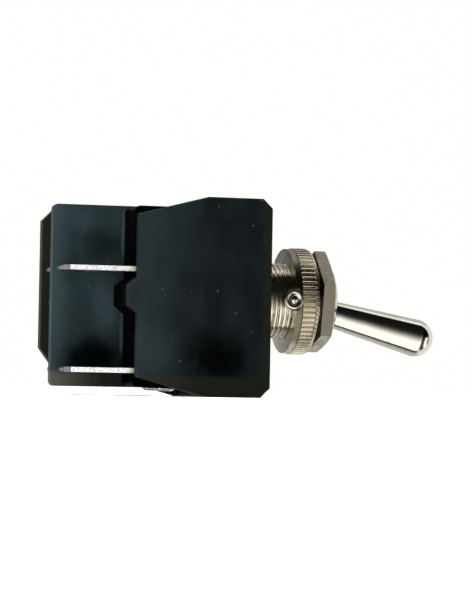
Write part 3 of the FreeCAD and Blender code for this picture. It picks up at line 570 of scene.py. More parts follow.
class Finishes:
    """Every finish of the switch, built once."""

    def __init__(self) -> None:
        """Builds the materials."""
        self.cover = MouldedPlastic(
            "cover_moulding", (0.0004, 0.0006, 0.0006), (0.0195, 0.028, 0.031), gloss=0.02, even_haze=0.20,
            rear_x_mm=(-7.0, -29.0), haze_and_light_patches=(
                # Paler at the lower rear, much darker at the lower front, a little darker at the top front.
                HazeAndLightPatch((-19.5, -8.5), (6.5, 7.5), 0.26, 0.2), HazeAndLightPatch((-8.8, -9.9), (7.6, 6.2), -0.97, 0.15),
                HazeAndLightPatch((-8.0, 9.0), (9.0, 7.0), -0.12, 0.3),
            ),
            warm_reflection_rear=(0.020, 0.020, 0.017), warm_reflection_front=(0.0095, 0.0100, 0.0070), warm_reflection_front_mm=-1.2,
        ).build()
        barrier_haze_and_light = (
            # Paler mid-barrier; painted shade round the lower blade; darker round the upper blade; paler near
            # the top rear; two thin painted highlight lines along the junction with the rear wall.
            HazeAndLightPatch((-24.4, -1.5), (3.2, 6.0), 0.33, 0.1), HazeAndLightPatch((-26.0, -9.8), (7.4, 5.6), -0.95, 0.15),
            HazeAndLightPatch((-24.8, 8.0), (5.6, 4.4), -0.62, 0.0), HazeAndLightPatch((-28.6, 12.0), (3.6, 3.4), 0.2, 0.1),
            HazeAndLightPatch((-21.85, 9.6), (0.4, 4.2), 1.6, 0.3), HazeAndLightPatch((-21.85, -5.4), (0.4, 4.4), 1.6, 0.3),
        )
        self.tray = MouldedPlastic(
            "tray_moulding", (0.0, 0.0004, 0.0004), (0.035, 0.055, 0.060), gloss=0.03, even_haze=0.42,
            paler_to_rear=0.30, rear_x_mm=(-29.4, -32.6), haze_and_light_patches=barrier_haze_and_light,
            warm_reflection_rear=(0.075, 0.078, 0.060), warm_reflection_front=(0.020, 0.021, 0.015), warm_reflection_x_mm=(-31.5, -24.0),
            warm_reflection_top_mm=-12.0, shine=0.38,
        ).build()
        # Painted warm shade for the far tray's bay.
        self.outer_bay_shade = MouldedPlastic(
            "outer_bay_painted_shade", (0.010, 0.011, 0.006), (0.016, 0.017, 0.011), gloss=0.08, shine=0.4,
        ).build()
        # Painted shade: near-black for the recesses and the bay in front of the near barrier, where shade
        # falls.
        self.recess_shade = MouldedPlastic(
            "painted_recess_shade", (0.0002, 0.0002, 0.0002), (0.001, 0.0011, 0.001), gloss=0.02, shine=0.5,
            warm_reflection_top_mm=-OFF_MM,
        ).build()
        # Paler colour on the tray rims: painted highlight along the rounded edges.
        self.rim = MouldedPlastic(
            "barrier_rims_painted_highlight", (0.035, 0.040, 0.038), (0.10, 0.11, 0.10), gloss=0.3, shine=0.34, even_haze=0.3,
            warm_reflection_top_mm=-OFF_MM,
        ).build()
        # Paler colour on the cover's rounded edges: worn edges and painted highlight.
        self.edges = MouldedPlastic(
            "worn_edges_painted_highlight", (0.006, 0.0075, 0.007), (0.020, 0.024, 0.022), gloss=0.35, shine=0.3,
            sheen=(0.95, 1.0, 0.95), warm_reflection_top_mm=-OFF_MM,
        ).build()
        self.inner = MouldedPlastic(
            "actuator_moulding", (0.02, 0.02, 0.02), (0.04, 0.04, 0.04), gloss=0.4,
        ).build()
        self.thread = PlatedMetal(
            "threaded_nickel", (1.0, 0.96, 0.84), (0.62, 0.56, 0.44), gloss=0.1, worn=0.22, pits_mm=0.002,
        ).build()
        self.ring = PlatedMetal(
            "ring_nickel", (0.88, 0.80, 0.61), (0.55, 0.49, 0.36), gloss=0.24, worn=0.4,
        ).build()
        self.washer = PlatedMetal(
            "washer_nickel", (0.98, 0.92, 0.76), (0.17, 0.152, 0.108), gloss=0.26, worn=0.42,
            painted_light_below=0.6, front_shade=0.9,
        ).build()
        self.nut = PlatedMetal(
            "nut_nickel", (0.99, 0.92, 0.75), (0.25, 0.226, 0.165), gloss=0.34, worn=0.5,
            lines=Noise(3.0, 4.0, (0.4, 1.0, 4.0)), line_mm=0.006, mottling=0.7, front_shade=0.85,
        ).build()
        # Painted shade: dark nickel for the nut's faces in the gap between ring and nut.
        self.gap_shade = PlatedMetal(
            "nickel_painted_gap_shade", (0.10, 0.085, 0.06), (0.03, 0.025, 0.016), gloss=0.45, worn=0.6,
        ).build()
        self.lever = PlatedMetal(
            "polished_nickel", (0.90, 0.88, 0.80), (0.80, 0.77, 0.68), gloss=0.04, worn=0.09,
            lines=Noise(3.0, 4.0), line_mm=0.006, pits_mm=0.0006, mottling=0.2,
        ).build()
        self.steel = PlatedMetal(
            "rivet_steel", (0.66, 0.66, 0.63), (0.42, 0.41, 0.38), gloss=0.2, worn=0.4,
        ).build()
        self.copper = PlatedMetal(
            "rocker_copper", (0.80, 0.46, 0.30), (0.55, 0.30, 0.2), gloss=0.25, worn=0.45,
        ).build()
        self.silver = PlatedMetal(
            "contact_silver", (0.90, 0.89, 0.86), (0.6, 0.58, 0.54), gloss=0.2, worn=0.4,
        ).build()
        self.tin = ShearedTin(
            "tinned_strip", rolled=(0.78, 0.79, 0.78), torn=(0.98, 0.99, 0.98), grey=(0.26, 0.26, 0.27),
            dark=(0.09, 0.09, 0.095), stain=(0.50, 0.52, 0.37), stain_start_mm=-21.7,
        ).build()
        self.floor = PlainFloor().build()


# Meshes


@dataclass(frozen=True)
class Station:
    """One point of a turned profile, in millimetres: place along the axis and radius."""

    along: float
    radius: float
    cut: float = 0.0
    square: bool = False


def linked(name: str, data: bpy.types.ID) -> Piece:
    """Puts a mesh, light or camera in the scene.

    Args:
        name: Name of the object and its data.
        data: The mesh, light or camera.

    Returns:
        The object.
    """
    data.name = name
    made = bpy.data.objects.new(name, data)
    bpy.context.scene.collection.objects.link(made)
    return made


def turned(name: str, profile: list[Station], around: int, closed: bool) -> Piece:
    """Turns a profile about the X axis.

    Args:
        name: Name of the piece.
        profile: Its stations, in order.
        around: Faces round the axis.
        closed: True joins the last station to the first; otherwise both ends lie on the axis.

    Returns:
        The piece, with the stations' cut stored as the attribute "cut".
    """
    shape = bmesh.new()
    weight = shape.verts.layers.float.new("cut")
    rings = []
    for station in profile:
        count = 1 if station.radius == 0 else around
        ring = []
        for step in range(count):
            angle = 2 * math.pi * step / around
            sides = max(abs(math.cos(angle)), abs(math.sin(angle)))
            radius = station.radius / (sides if station.square else 1.0) * MM
            vertex = shape.verts.new((station.along * MM, radius * math.cos(angle), radius * math.sin(angle)))
            vertex[weight] = station.cut
            ring.append(vertex)
        rings.append(ring)
    pairs = list(zip(rings, rings[1:])) + ([(rings[-1], rings[0])] if closed else [])
    for first, last in pairs:
        for step in range(around):
            following = (step + 1) % around
            corners = [first[step % len(first)], first[following % len(first)]]
            corners += [last[following % len(last)], last[step % len(last)]]
            shape.faces.new(list(dict.fromkeys(corners)))
    bmesh.ops.recalc_face_normals(shape, faces=shape.faces)
    return linked(name, poured(shape, bpy.data.meshes.new(name)))


def poured(shape: bmesh.types.BMesh, mesh: Mesh) -> Mesh:
    """Ends the editing of a shape.

    Args:
        shape: The shape, freed here.
        mesh: The mesh that receives it.

    Returns:
        The mesh.
    """
    shape.to_mesh(mesh)
    shape.free()
    return mesh


def welded_copy(node: str) -> Mesh:
    """Copies a CAD node's mesh, with loose triangles joined and flat faces made whole.

    Args:
        node: The CAD node.

    Returns:
        The new mesh.
    """
    shape = bmesh.new()
    shape.from_mesh(frame["nodes"][node].data)
    bmesh.ops.remove_doubles(shape, verts=shape.verts, dist=WELD_MM * MM)
    bmesh.ops.dissolve_limit(
        shape, angle_limit=math.radians(FLAT_DEG), verts=shape.verts, edges=shape.edges, delimit={"NORMAL"}
    )
    return poured(shape, bpy.data.meshes.new(node))


def baked(piece: Piece) -> Piece:
    """Turns a piece's modifiers into plain mesh.

    Args:
        piece: The piece.

    Returns:
        The same piece.
    """
    evaluated = piece.evaluated_get(bpy.context.evaluated_depsgraph_get())
    mesh = bpy.data.meshes.new_from_object(evaluated)
    piece.modifiers.clear()
    old = piece.data
    piece.data = mesh
    bpy.data.meshes.remove(old)
    mesh.name = piece.name
    return piece


def shade(piece: Piece, crease_deg: float = CREASE_DEG) -> None:
    """Shades a piece smooth up to an angle.

    Args:
        piece: The piece.
        crease_deg: Edges that bend by as much or more stay sharp.
    """
    piece.data.shade_smooth()
    shape = bmesh.new()
    shape.from_mesh(piece.data)
    for edge in shape.edges:
        edge.smooth = len(edge.link_faces) == 2 and edge.calc_face_angle() < math.radians(crease_deg)
    poured(shape, piece.data)


def eased(
    node: str, name: str, width_mm: float, finishes: tuple[Paint, ...], steps: int = 2,
    reshape: Callable[[Mesh], None] | None = None,
) -> Piece:
    """A CAD node's form with its sharp edges rounded.

    Args:
        node: The CAD node.
        name: Name of the new piece.
        width_mm: Width of the rounding.
        finishes: Its finish, and one for the roundings if they differ.
        steps: Faces across the rounding.
        reshape: Moves points of the copy before the rounding.

    Returns:
        The new piece.
    """
    piece = linked(name, welded_copy(node))
    if reshape is not None:
        reshape(piece.data)
    paint(piece, *finishes)
    modifier = piece.modifiers.new("rounding", "BEVEL")
    modifier.material = len(finishes) - 1
    modifier.width = width_mm * MM
    modifier.segments = steps
    modifier.limit_method = "ANGLE"
    modifier.angle_limit = math.radians(ROUNDED_DEG)
    modifier.use_clamp_overlap = True
    modifier.harden_normals = True
    shade(piece)
    return baked(piece)


def paint(piece: Piece, *finishes: Paint) -> None:
    """Gives a piece its materials.

    Args:
        piece: The piece.
        finishes: The materials, of which the first goes on every face.
    """
    piece.data.materials.clear()
    for finish in finishes:
        piece.data.materials.append(finish)
    piece.data.polygons.foreach_set("material_index", [0] * len(piece.data.polygons))


def paint_where(
    piece: Piece, finish: Paint, chosen: Callable[[bpy.types.MeshPolygon], bool],
    rims: bool = True,
) -> None:
    """Gives another material to some faces of a piece.

    Args:
        piece: The piece.
        finish: The material.
        chosen: Test of a face.
        rims: False leaves the rounded edges as they are.
    """
    piece.data.materials.append(finish)
    for face in piece.data.polygons:
        if chosen(face) and (rims or face.material_index == 0):
            face.material_index = len(piece.data.materials) - 1


def cut_away(piece: Piece, low: Vector, high: Vector) -> None:
    """Cuts a box out of a piece.

    Args:
        piece: The piece.
        low: The box's lowest corner, in metres.
        high: Its highest corner.
    """
    shape = bmesh.new()
    bmesh.ops.create_cube(shape, size=1.0)
    placed = Matrix.Translation((low + high) / 2) @ Matrix.Diagonal((*(high - low), 1.0))
    bmesh.ops.transform(shape, matrix=placed, verts=shape.verts)
    cutter = linked("cutter", poured(shape, bpy.data.meshes.new("cutter")))
    modifier = piece.modifiers.new("cut", "BOOLEAN")
    modifier.operation = "DIFFERENCE"
    modifier.object = cutter
    modifier.solver = "EXACT"
    baked(piece)
    bpy.data.objects.remove(cutter)


# Patterns that follow a rule


class PatternTree(Graph):
    """A geometry node tree that cuts a pattern into a turned piece, then sets its material."""

    def __init__(self, name: str, sizes: dict[str, float | int]) -> None:
        """Starts the tree with its named inputs.

        Args:
            name: Name of the tree.
            sizes: Its inputs and their values; "Depth" is how deep it cuts.
        """
        super().__init__(bpy.data.node_groups.new(name, "GeometryNodeTree"))
        self.sizes = sizes
        face = self.tree.interface
        for way in ("OUTPUT", "INPUT"):
            face.new_socket("Geometry", in_out=way, socket_type="NodeSocketGeometry")
        face.new_socket("Finish", in_out="INPUT", socket_type="NodeSocketMaterial")
        for key, value in sizes.items():
            kind = "NodeSocketInt" if isinstance(value, int) else "NodeSocketFloat"
            face.new_socket(key, in_out="INPUT", socket_type=kind).default_value = value
        self.entry = self.node("NodeGroupInput")
        self.exit = self.node("NodeGroupOutput")
        self.along, self.side, self.up = self.parts(self.out(self.node("GeometryNodeInputPosition")))

    def given(self, name: str) -> Field:
        """A named input."""
        return self.out(self.entry, name)

    def turns(self) -> Field:
        """Turns round the axis."""
        return self.math("ARCTAN2", self.up, self.side) / (2 * math.pi)

    def wave(self, phase: Field) -> Field:
        """Triangle wave: one at whole numbers, zero halfway between them."""
        return self.math("ABSOLUTE", self.math("FRACT", phase) * 2.0 - 1.0)

    def lower(self, share: Field) -> None:
        """Ends the tree: lowers the radius, makes the result real and paints it.

        Args:
            share: Share of the depth to cut.
        """
        radius = self.math("SQRT", self.side * self.side + self.up * self.up)
        cut = self.node("GeometryNodeInputNamedAttribute", {"Name": "cut"}, data_type="FLOAT")
        drop = self.given("Depth") * share * self.out(cut, "Attribute")
        scale = (radius - drop) / self.math("MAXIMUM", radius, TINY)
        moved = self.node("ShaderNodeCombineXYZ", {0: self.along, 1: self.side * scale, 2: self.up * scale})
        inputs = {"Geometry": self.given("Geometry"), "Position": self.out(moved)}
        placed = self.out(self.node("GeometryNodeSetPosition", inputs))
        real = self.out(self.node("GeometryNodeRealizeInstances", {"Geometry": placed}))
        painted = self.node("GeometryNodeSetMaterial", {"Geometry": real, "Material": self.given("Finish")})
        self.feed(self.exit.inputs[0], self.out(painted))

    def apply(self, piece: Piece, finish: Paint) -> None:
        """Runs the tree on a piece and keeps the result as plain mesh.

        Args:
            piece: The piece.
            finish: Its material.
        """
        modifier = piece.modifiers.new(self.tree.name, "NODES")
        modifier.node_group = self.tree
        items = self.tree.interface.items_tree
        for name, value in (*self.sizes.items(), ("Finish", finish)):
            modifier[items[name].identifier] = value
        baked(piece)


@dataclass(frozen=True)
class ThreadCut:
    """Screw thread cut into a turned barrel."""

    pitch_mm: float = 0.75
    depth_mm: float = 0.4
    groove: Pair = (0.45, 1.2)
    start_turns: float = 20.0

    def tree(self) -> PatternTree:
        """Builds the tree: the radius falls in a helical groove.

        Returns:
            The tree.
        """
        tree = PatternTree("thread_cut", {"Pitch": self.pitch_mm * MM, "Depth": self.depth_mm * MM})
        phase = tree.along / tree.given("Pitch") - tree.turns() + self.start_turns
        tree.lower(tree.between(tree.wave(phase), *self.groove))
        return tree


@dataclass(frozen=True)
class RidgeCut:
    """Straight grooves round the rim of a ring."""

    ridges: int = 66
    depth_mm: float = 0.3
    groove_share: float = 0.5

    def tree(self) -> PatternTree:
        """Builds the tree: the radius falls in each groove.

        Returns:
            The tree.
        """
        sizes = {"Ridges": self.ridges, "Depth": self.depth_mm * MM, "Groove Share": self.groove_share}
        tree = PatternTree("ridge_cut", sizes)
        phase = (tree.turns() + 1.0) * tree.given("Ridges")
        tree.lower(tree.between(tree.wave(phase), 0.0, tree.given("Groove Share"), 1.0, 0.0))
        return tree


# Sub-assemblies


def seat(piece: Piece, node: str) -> None:
    """Lets a finished piece stand for a CAD node and ride on its body.

    Args:
        piece: The piece.
        node: The CAD node.
    """
    body = frame["nodes"][node]["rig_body"]
    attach(piece, body)
    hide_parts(node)
    log.info("%s stands for %s on %s", piece.name, node, body)


@dataclass
class Housing:
    """Cover and pole trays, with the small radii of moulded edges."""

    finishes: Finishes
    cover_edge_mm: float = 0.22
    cover_edge_steps: int = 3
    tray_edge_mm: float = 0.16
    recess_start_mm: float = -21.65
    near_bay_mm: float = -2.2
    far_bay_mm: float = 8.7

    def build(self) -> None:
        """Rounds the mouldings' edges and paints them paler as painted highlight, with painted shade in the
        recesses and the outer bay.
        """
        finishes = self.finishes
        pair = (finishes.cover, finishes.edges)
        cover = eased("cover", "cover_shell", self.cover_edge_mm, pair, self.cover_edge_steps)
        seat(cover, "cover")
        for pole, inner, limit_mm in (
            ("near", finishes.recess_shade, self.near_bay_mm), ("far", finishes.outer_bay_shade, self.far_bay_mm),
        ):
            node, limit = f"tray_{pole}", limit_mm * MM
            tray = eased(node, f"tray_moulding_{pole}", self.tray_edge_mm, (finishes.tray, finishes.rim))
            # Painted shade: the near tray's bay in front of its barrier is near-black, the far tray's bay
            # takes a warm painted shade, and the rear wall and all in front of it are near-black.
            paint_where(tray, inner, lambda face, limit=limit: face.center.y < limit, rims=False)
            paint_where(tray, finishes.recess_shade, lambda face: face.center.x > self.recess_start_mm * MM)
            seat(tray, node)


@dataclass
class Terminals:
    """Push-on blades and the rivets that hold the lower ones."""

    finishes: Finishes
    edge_mm: float = 0.07
    solid_taper_mm: float = 1.9
    taper_mm: float = 1.0
    same_place_mm: float = 0.01

    def steepen_tip(self, mesh: Mesh) -> None:
        """Draws the tapered sides of a blade's tip together towards the tip.

        Args:
            mesh: The blade's mesh.
        """
        base = min(vertex.co.x for vertex in mesh.vertices) + self.solid_taper_mm * MM
        for vertex in mesh.vertices:
            if abs(vertex.co.x - base) < self.same_place_mm * MM:
                vertex.co.x -= (self.solid_taper_mm - self.taper_mm) * MM

    def build(self) -> None:
        """Eases the blades' edges and paints blades and rivets."""
        tin, steel = (self.finishes.tin,), (self.finishes.steel,)
        for pole in POLES:
            for level in ("upper", "lower"):
                node = f"{level}_terminal_{pole}"
                blade = eased(node, f"{level}_blade_{pole}", self.edge_mm, tin, reshape=self.steepen_tip)
                seat(blade, node)
            node = f"terminal_rivet_{pole}"
            seat(eased(node, f"floor_rivet_{pole}", self.edge_mm, steel), node)


@dataclass
class Bushing:
    """Threaded bushing with its flange, bore, ball seat and keyway."""

    finishes: Finishes
    crest_mm: float = 6.0
    bore_mm: float = 4.2
    socket_mm: float = 3.5
    seat_half_mm: float = 2.4
    pivot_mm: float = 5.5
    mouth_bevel_mm: float = 0.6
    mouth_ease_mm: float = 0.25
    thread_end_mm: float = 0.15
    flange_front_mm: float = -1.2
    keyway_half_mm: float = 0.8
    keyway_depth_mm: float = 0.9
    overcut_mm: float = 1.0
    stations_per_turn: int = 10
    around: int = 144
    crease_deg: float = 50.0

    def profile(self, back: float, front: float, flange: float) -> list[Station]:
        """Cross-section of the bushing, round once.

        Args:
            back: Rear face, in millimetres.
            front: Mouth.
            flange: Half the side of the square flange.

        Returns:
            The stations of the closed profile.
        """
        pitch = ThreadCut().pitch_mm
        step = pitch / self.stations_per_turn
        count = int((front - self.thread_end_mm) / step)
        stations = [Station(self.flange_front_mm, self.crest_mm), Station(0.0, self.crest_mm)]
        for index in range(1, count + 1):
            along = index * step
            radius = min(self.crest_mm, self.crest_mm - self.mouth_bevel_mm + front - along)
            stations.append(Station(along, radius, min(1.0, along / pitch, (front - along) / pitch)))
        ease = self.mouth_ease_mm
        seat_front, seat_back = self.pivot_mm + self.seat_half_mm, self.pivot_mm - self.seat_half_mm
        rows = (
            (front, self.crest_mm - self.mouth_bevel_mm), (front, self.bore_mm + ease),
            (front - ease, self.bore_mm), (seat_front, self.bore_mm), (seat_front, self.socket_mm),
            (seat_back, self.socket_mm), (seat_back, self.bore_mm), (back, self.bore_mm),
        )
        stations += [Station(*row) for row in rows]
        return stations + [Station(along, flange, square=True) for along in (back, self.flange_front_mm)]

    def build(self) -> None:
        """Turns the barrel, cuts the thread and the keyway, and seats it."""
        low, high = (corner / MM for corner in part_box("bushing"))
        piece = turned("threaded_bushing", self.profile(low.x, high.x, high.y), self.around, closed=True)
        ThreadCut().tree().apply(piece, self.finishes.thread)
        half, floor = self.keyway_half_mm, self.keyway_depth_mm - self.crest_mm
        corner = Vector((0.0, -half, -self.crest_mm - self.overcut_mm))
        cut_away(piece, corner * MM, Vector((high.x + self.overcut_mm, half, floor)) * MM)
        paint(piece, self.finishes.thread)
        shade(piece, self.crease_deg)
        seat(piece, "bushing")


@dataclass
class MountingHardware:
    """Locating washer, knurled ring and hexagon nut."""

    finishes: Finishes
    bore_mm: float = 6.03
    bore_lead_mm: float = 0.3
    face_edge_mm: float = 1.2
    lip_mm: float = 0.4
    lip_drop_mm: float = 0.15
    rim_round_mm: float = 0.14
    points_per_ridge: int = 12
    ring_crease_deg: float = 40.0
    edge_mm: float = 0.16
    edge_steps: int = 3
    rear_facing: float = 0.9
    pip_centre_mm: Pair = (4.42, 0.0)
    pip_radius_mm: float = 1.46
    pip_root_mm: float = 0.4
    pip_around: int = 64
    pip_crease_deg: float = 50.0
    pip_shape: tuple[Pair, ...] = (
        (1.0, 0.02), (0.91, 0.09), (0.81, 0.1), (0.69, 0.03), (0.57, -0.12), (0.46, -0.16), (0.35, -0.12),
        (0.25, -0.01), (0.14, 0.06), (0.0, 0.08),
    )

    def ring_profile(self, back: float, front: float, rim: float) -> list[Station]:
        """Cross-section of the knurled ring: grooved rim, then a plain lip.

        Args:
            back: Rear face, in millimetres.
            front: Front face.
            rim: Radius over the ridges.

        Returns:
            The stations of the closed profile.
        """
        ease, lead = self.rim_round_mm, self.bore_lead_mm
        face = rim - self.face_edge_mm
        lip = rim - self.lip_drop_mm
        shoulder = front - self.lip_mm
        rows = (
            (back, self.bore_mm + lead), (back, face), (back, rim - 2 * ease, 0.9),
            (back + ease * 0.3, rim - ease * 0.8, 1.0), (back + ease, rim, 1.0), (shoulder - 0.5, rim, 1.0),
            (shoulder - 0.16, rim, 1.0), (shoulder - 0.05, rim - 0.03, 0.7), (shoulder, lip + 0.02, 0.3),
            (shoulder + 0.05, lip), (front - ease, lip), (front - ease * 0.3, lip - ease * 0.3),
            (front, lip - ease), (front, face), (front, self.bore_mm + lead), (front - lead, self.bore_mm),
            (back + lead, self.bore_mm),
        )
        return [Station(*row) for row in rows]

    def build(self) -> None:
        """Makes the three pieces and seats them."""
        low, high = (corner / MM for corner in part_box("knurled_ring"))
        pattern = RidgeCut()
        stations = self.ring_profile(low.x, high.x, high.z)
        ring = turned("ridged_ring", stations, pattern.ridges * self.points_per_ridge, closed=True)
        pattern.tree().apply(ring, self.finishes.ring)
        shade(ring, self.ring_crease_deg)
        seat(ring, "knurled_ring")
        plated = (self.finishes.washer,)
        washer = eased("locating_washer", "tabbed_washer", self.edge_mm, plated, self.edge_steps)
        seat(washer, "locating_washer")
        nut = eased("hex_nut", "panel_nut", self.edge_mm, (self.finishes.nut,), self.edge_steps)
        # Painted shade on the nut's rear faces, in the gap between ring and nut.
        paint_where(nut, self.finishes.gap_shade, lambda face: face.normal.x < -self.rear_facing)
        seat(nut, "hex_nut")
        self.pip()

    def pip(self) -> None:
        """Lays the coined pip on the washer's tab: a ring-shaped groove round a low dome."""
        face = -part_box("locating_washer")[0].y / MM
        root = face - self.pip_root_mm
        profile = [Station(root, 0.0), Station(root, self.pip_radius_mm)]
        profile += [Station(face + rise, share * self.pip_radius_mm) for share, rise in self.pip_shape]
        piece = turned("coined_pip", profile, self.pip_around, closed=False)
        along, up = self.pip_centre_mm
        turn = Matrix.Rotation(math.radians(-90), 4, "Z")
        piece.data.transform(Matrix.Translation((along * MM, 0, up * MM)) @ turn)
        paint(piece, self.finishes.thread)
        shade(piece, self.pip_crease_deg)
        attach(piece, frame["nodes"]["locating_washer"]["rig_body"])
        log.info("%s lies on the washer", piece.name)


@dataclass
class Lever:
    """Bat handle, ball and tail in one turned piece."""

    finishes: Finishes
    pivot_mm: float = 5.5
    tilt_deg: float = 14.0
    ball_mm: float = 3.45
    flat_mm: float = 2.4
    stem_mm: float = 1.8
    tail_mm: float = 1.5
    tail_ease_mm: float = 0.15
    tail_end_mm: float = 12.9
    bat_mm: float = 3.0
    bat_shares: tuple[float, ...] = (0.0, 0.1, 0.3, 0.5, 0.7, 0.85, 0.93)
    reach_mm: float = 25.3
    ball_steps: int = 30
    tip_steps: int = 24
    around: int = 128
    crease_deg: float = 40.0

    def arc(self, centre: float, radius: float, first: float, last: float, steps: int) -> list[Station]:
        """Stations along an arc about a point of the axis, from one angle to another in degrees."""
        angles = [math.radians(first + (last - first) * step / steps) for step in range(steps + 1)]
        return [Station(centre - radius * math.cos(angle), radius * math.sin(angle)) for angle in angles]

    def profile(self) -> list[Station]:
        """Outline of the lever from the end of its tail to the tip of its bat.

        Returns:
            The stations, with both ends on the axis.
        """
        shoulder = math.degrees(math.acos(self.flat_mm / self.ball_mm))
        centre = self.reach_mm - self.bat_mm
        ease = self.tail_ease_mm
        stations = [
            Station(-self.tail_end_mm, 0.0), Station(-self.tail_end_mm, self.tail_mm - ease),
            Station(-self.tail_end_mm + ease, self.tail_mm), Station(-self.flat_mm, self.tail_mm),
        ]
        stations += self.arc(0.0, self.ball_mm, shoulder, 180 - shoulder, self.ball_steps)
        run, rise = centre - self.flat_mm, self.bat_mm - self.stem_mm
        for share in self.bat_shares:
            stations.append(Station(self.flat_mm + run * share, self.stem_mm + rise * share))
        lean = math.degrees(math.atan(rise / run))
        stations += self.arc(centre, self.bat_mm, 90 - lean, 180, self.tip_steps)[:-1]
        return [*stations, Station(self.reach_mm, 0.0)]

    def build(self) -> None:
        """Turns the lever, tilts it about its pivot and seats it."""
        piece = turned("bat_lever", self.profile(), self.around, closed=False)
        tilt = Matrix.Rotation(math.radians(self.tilt_deg), 4, "Y")
        piece.data.transform(Matrix.Translation((self.pivot_mm * MM, 0, 0)) @ tilt)
        paint(piece, self.finishes.lever)
        shade(piece, self.crease_deg)
        seat(piece, "lever")


@dataclass
class Mechanism:
    """Pieces inside the housing, as the CAD has them."""

    finishes: Finishes

    def build(self) -> None:
        """Paints the inner CAD nodes."""
        finishes = self.finishes
        chosen = {"pivot_pin": finishes.steel, "actuator": finishes.inner}
        for pole in POLES:
            chosen[f"plunger_{pole}"] = finishes.inner
            chosen[f"plunger_spring_{pole}"] = finishes.steel
            chosen[f"rocker_{pole}"] = finishes.copper
            chosen[f"moving_contact_{pole}"] = finishes.silver
            chosen[f"fixed_contact_{pole}"] = finishes.silver
        for node, finish in chosen.items():
            paint(frame["nodes"][node], finish)
            log.info("%s is painted with %s", node, finish.name)


# Studio


@dataclass(frozen=True)
class Softbox:
    """Area light that faces the switch."""

    name: str
    place_mm: Triple
    size_mm: Pair
    watts: float
    tint: Colour
    mirrored: bool = False

    def build(self) -> None:
        """Adds the light."""
        data = bpy.data.lights.new(self.name, "AREA")
        data.shape = "RECTANGLE"
        data.size, data.size_y = (side * MM for side in self.size_mm)
        data.energy = self.watts
        data.color = self.tint
        light = linked(self.name, data)
        light.location = Vector(self.place_mm) * MM
        light.rotation_euler = (-Vector(self.place_mm)).to_track_quat("-Z", "Y").to_euler()
        light.visible_glossy = self.mirrored


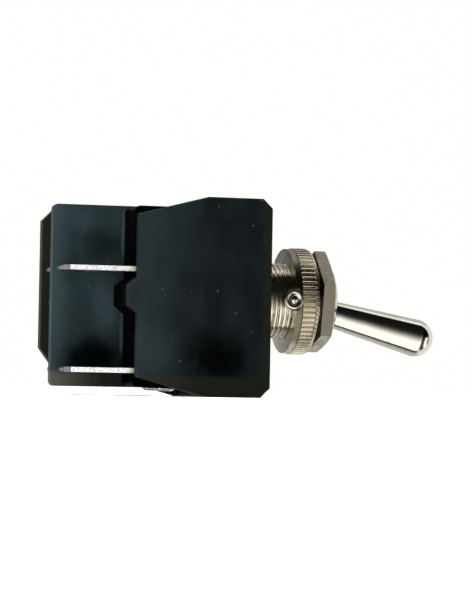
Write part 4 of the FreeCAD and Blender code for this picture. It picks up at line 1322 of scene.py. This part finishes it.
@dataclass
class Studio:
    """Pale floor, soft light and the camera at the photograph's angle.

    The metal mirrors bands of tone, by degrees up from the front, and a card, lamp, screen and window. Their
    pairs are the places between which they fade.
    """

    finishes: Finishes
    azimuth_deg: float = -15.3
    elevation_deg: float = -1.8
    roll_deg: float = 1.04
    distance_mm: float = 430.0
    focal_px: float = 2695.9
    image_px: tuple[int, int] = (472, 614)
    origin_px: Pair = (253.2, 300.3)
    sensor_mm: float = 36.0
    clip_m: Pair = (0.01, 50.0)
    floor_half_m: float = 0.8
    softboxes: tuple[Softbox, ...] = (
        Softbox("ceiling", (0.0, 0.0, 1300.0), (1600.0, 1600.0), 40.0, EVEN),
        Softbox("left_softbox", (-520.0, -120.0, 260.0), (320.0, 420.0), 0.6, (0.97, 0.99, 1.0), True),
        Softbox("front_fill", (-160.0, -580.0, 60.0), (500.0, 500.0), 2.2, (0.98, 1.0, 1.0)),
    )
    room_tint: Colour = (1.0, 0.995, 0.98)
    shadow_tint: Colour = (1.0, 0.82, 0.45)
    shadow_tone: float = 0.1
    bands: tuple[Pair, ...] = (
        (-180, 0.46), (-150, 0.55), (-125, 0.50), (-103, 0.28), (-99, 0.03), (-90, 0.03), (-86, 1.35),
        (-32, 1.3), (-20, 0.9), (-8, 0.45), (4, 0.16), (16, 0.035), (32, 0.012), (84, 0.006), (91, 0.6),
        (97, 1.3), (107, 0.8), (120, 0.50), (180, 0.46),
    )
    lever_way: Pair = (0.97, -0.242)
    card_along: Pair = (0.5, 0.62)
    card_depth: Pair = (-0.1, 0.1)
    card_dark: float = 0.95
    lamp_along: Pair = (0.78, 0.86)
    lamp_tip: Pair = (0.94, 0.99)
    lamp_low: Pair = (-0.8, -0.6)
    lamp_high: Pair = (-0.05, 0.15)
    screen_along: Pair = (0.45, 0.6)
    screen_tone: float = 0.85
    window_across: Pair = (-0.97, -0.9)
    window_depth: Pair = (-0.05, 0.05)
    window_tone: float = 4.0

    def camera(self) -> None:
        """Aims the camera at the bushing's root, with the photograph's framing."""
        azimuth, elevation = math.radians(self.azimuth_deg), math.radians(self.elevation_deg)
        level = math.cos(elevation)
        back = Vector((math.sin(azimuth) * level, -math.cos(azimuth) * level, math.sin(elevation)))
        data = bpy.data.cameras.new("camera")
        camera = linked("camera", data)
        camera.location = back * self.distance_mm * MM
        turn = (-back).to_track_quat("-Z", "Y").to_matrix().to_4x4()
        roll = Matrix.Rotation(math.radians(self.roll_deg), 4, "Z")
        camera.rotation_euler = (turn @ roll).to_euler()
        width, height = self.image_px
        data.sensor_width = self.sensor_mm
        data.lens = self.focal_px / height * self.sensor_mm
        data.shift_x = (width / 2 - self.origin_px[0]) / height
        data.shift_y = (self.origin_px[1] - height / 2) / height
        data.clip_start, data.clip_end = self.clip_m
        bpy.context.scene.camera = camera

    def floor(self, level: float) -> None:
        """Lays the floor.

        Args:
            level: Its height, in metres.
        """
        half = self.floor_half_m
        mesh = bpy.data.meshes.new("floor")
        corners = [(-half, -half, level), (half, -half, level), (half, half, level), (-half, half, level)]
        mesh.from_pydata(corners, [], [(0, 1, 2, 3)])
        piece = linked("floor", mesh)
        paint(piece, self.finishes.floor)
        piece.visible_glossy = False

    def surroundings(self) -> None:
        """Sets the room: white to the eye, and dark above the front for what the metal mirrors."""
        world = bpy.data.worlds.new("studio")
        world.use_nodes = True
        bpy.context.scene.world = world
        graph = Graph(world.node_tree)
        shader = world.node_tree.nodes["Background"]
        across, depth, up = graph.parts(graph.out(graph.node("ShaderNodeTexCoord"), "Generated"))
        turn = graph.math("ARCTAN2", up, depth * -1.0) / (2 * math.pi) + 0.5
        ramp = graph.node("ShaderNodeValToRGB", {0: turn})
        elements = ramp.color_ramp.elements
        while len(elements) < len(self.bands):
            elements.new(0.5)
        for element, (degrees, tone) in zip(elements, self.bands):
            element.position = degrees / 360 + 0.5
            tint = self.shadow_tint if tone < self.shadow_tone else EVEN
            element.color = (*(tone * share for share in tint), 1.0)
        along = across * self.lever_way[0] + up * self.lever_way[1]
        card = graph.between(along, *self.card_along) * graph.between(depth, *self.card_depth, 1.0, 0.0)
        lamp = graph.between(along, *self.lamp_along) * graph.between(along, *self.lamp_tip, 1.0, 0.0)
        lamp = lamp * graph.between(up, *self.lamp_low) * graph.between(up, *self.lamp_high, 1.0, 0.0)
        card = card * (lamp * -1.0 + 1.0)
        screen = graph.between(along, *self.screen_along) * graph.between(depth, *self.card_depth)
        window = graph.between(across, *self.window_across, 1.0, 0.0)
        window = window * graph.between(depth, *self.window_depth, 1.0, 0.0)
        mirrored = graph.math("MAXIMUM", graph.out(ramp), lamp) * (card * -self.card_dark + 1.0)
        mirrored = mirrored * (screen * -1.0 + 1.0) + screen * self.screen_tone + window * self.window_tone
        seen = graph.out(graph.node("ShaderNodeLightPath"), "Is Camera Ray")
        graph.feed(shader.inputs["Color"], (*self.room_tint, 1.0))
        graph.feed(shader.inputs["Strength"], graph.math("MAXIMUM", mirrored, seen))

    def build(self) -> None:
        """Builds floor, room, lights and camera."""
        self.floor(CAD_BOX[0].z)
        self.surroundings()
        for softbox in self.softboxes:
            softbox.build()
        self.camera()
        bpy.context.scene.view_settings.view_transform = "Standard"


def main() -> None:
    """Builds the switch's sub-assemblies, then the studio."""
    logging.basicConfig(level=logging.INFO, format="%(name)s: %(message)s")
    finishes = Finishes()
    for part in (Housing, Terminals, Bushing, MountingHardware, Lever, Mechanism, Studio):
        log.info("building %s", part.__name__)
        part(finishes).build()


if __name__ == "__main__":
    main()
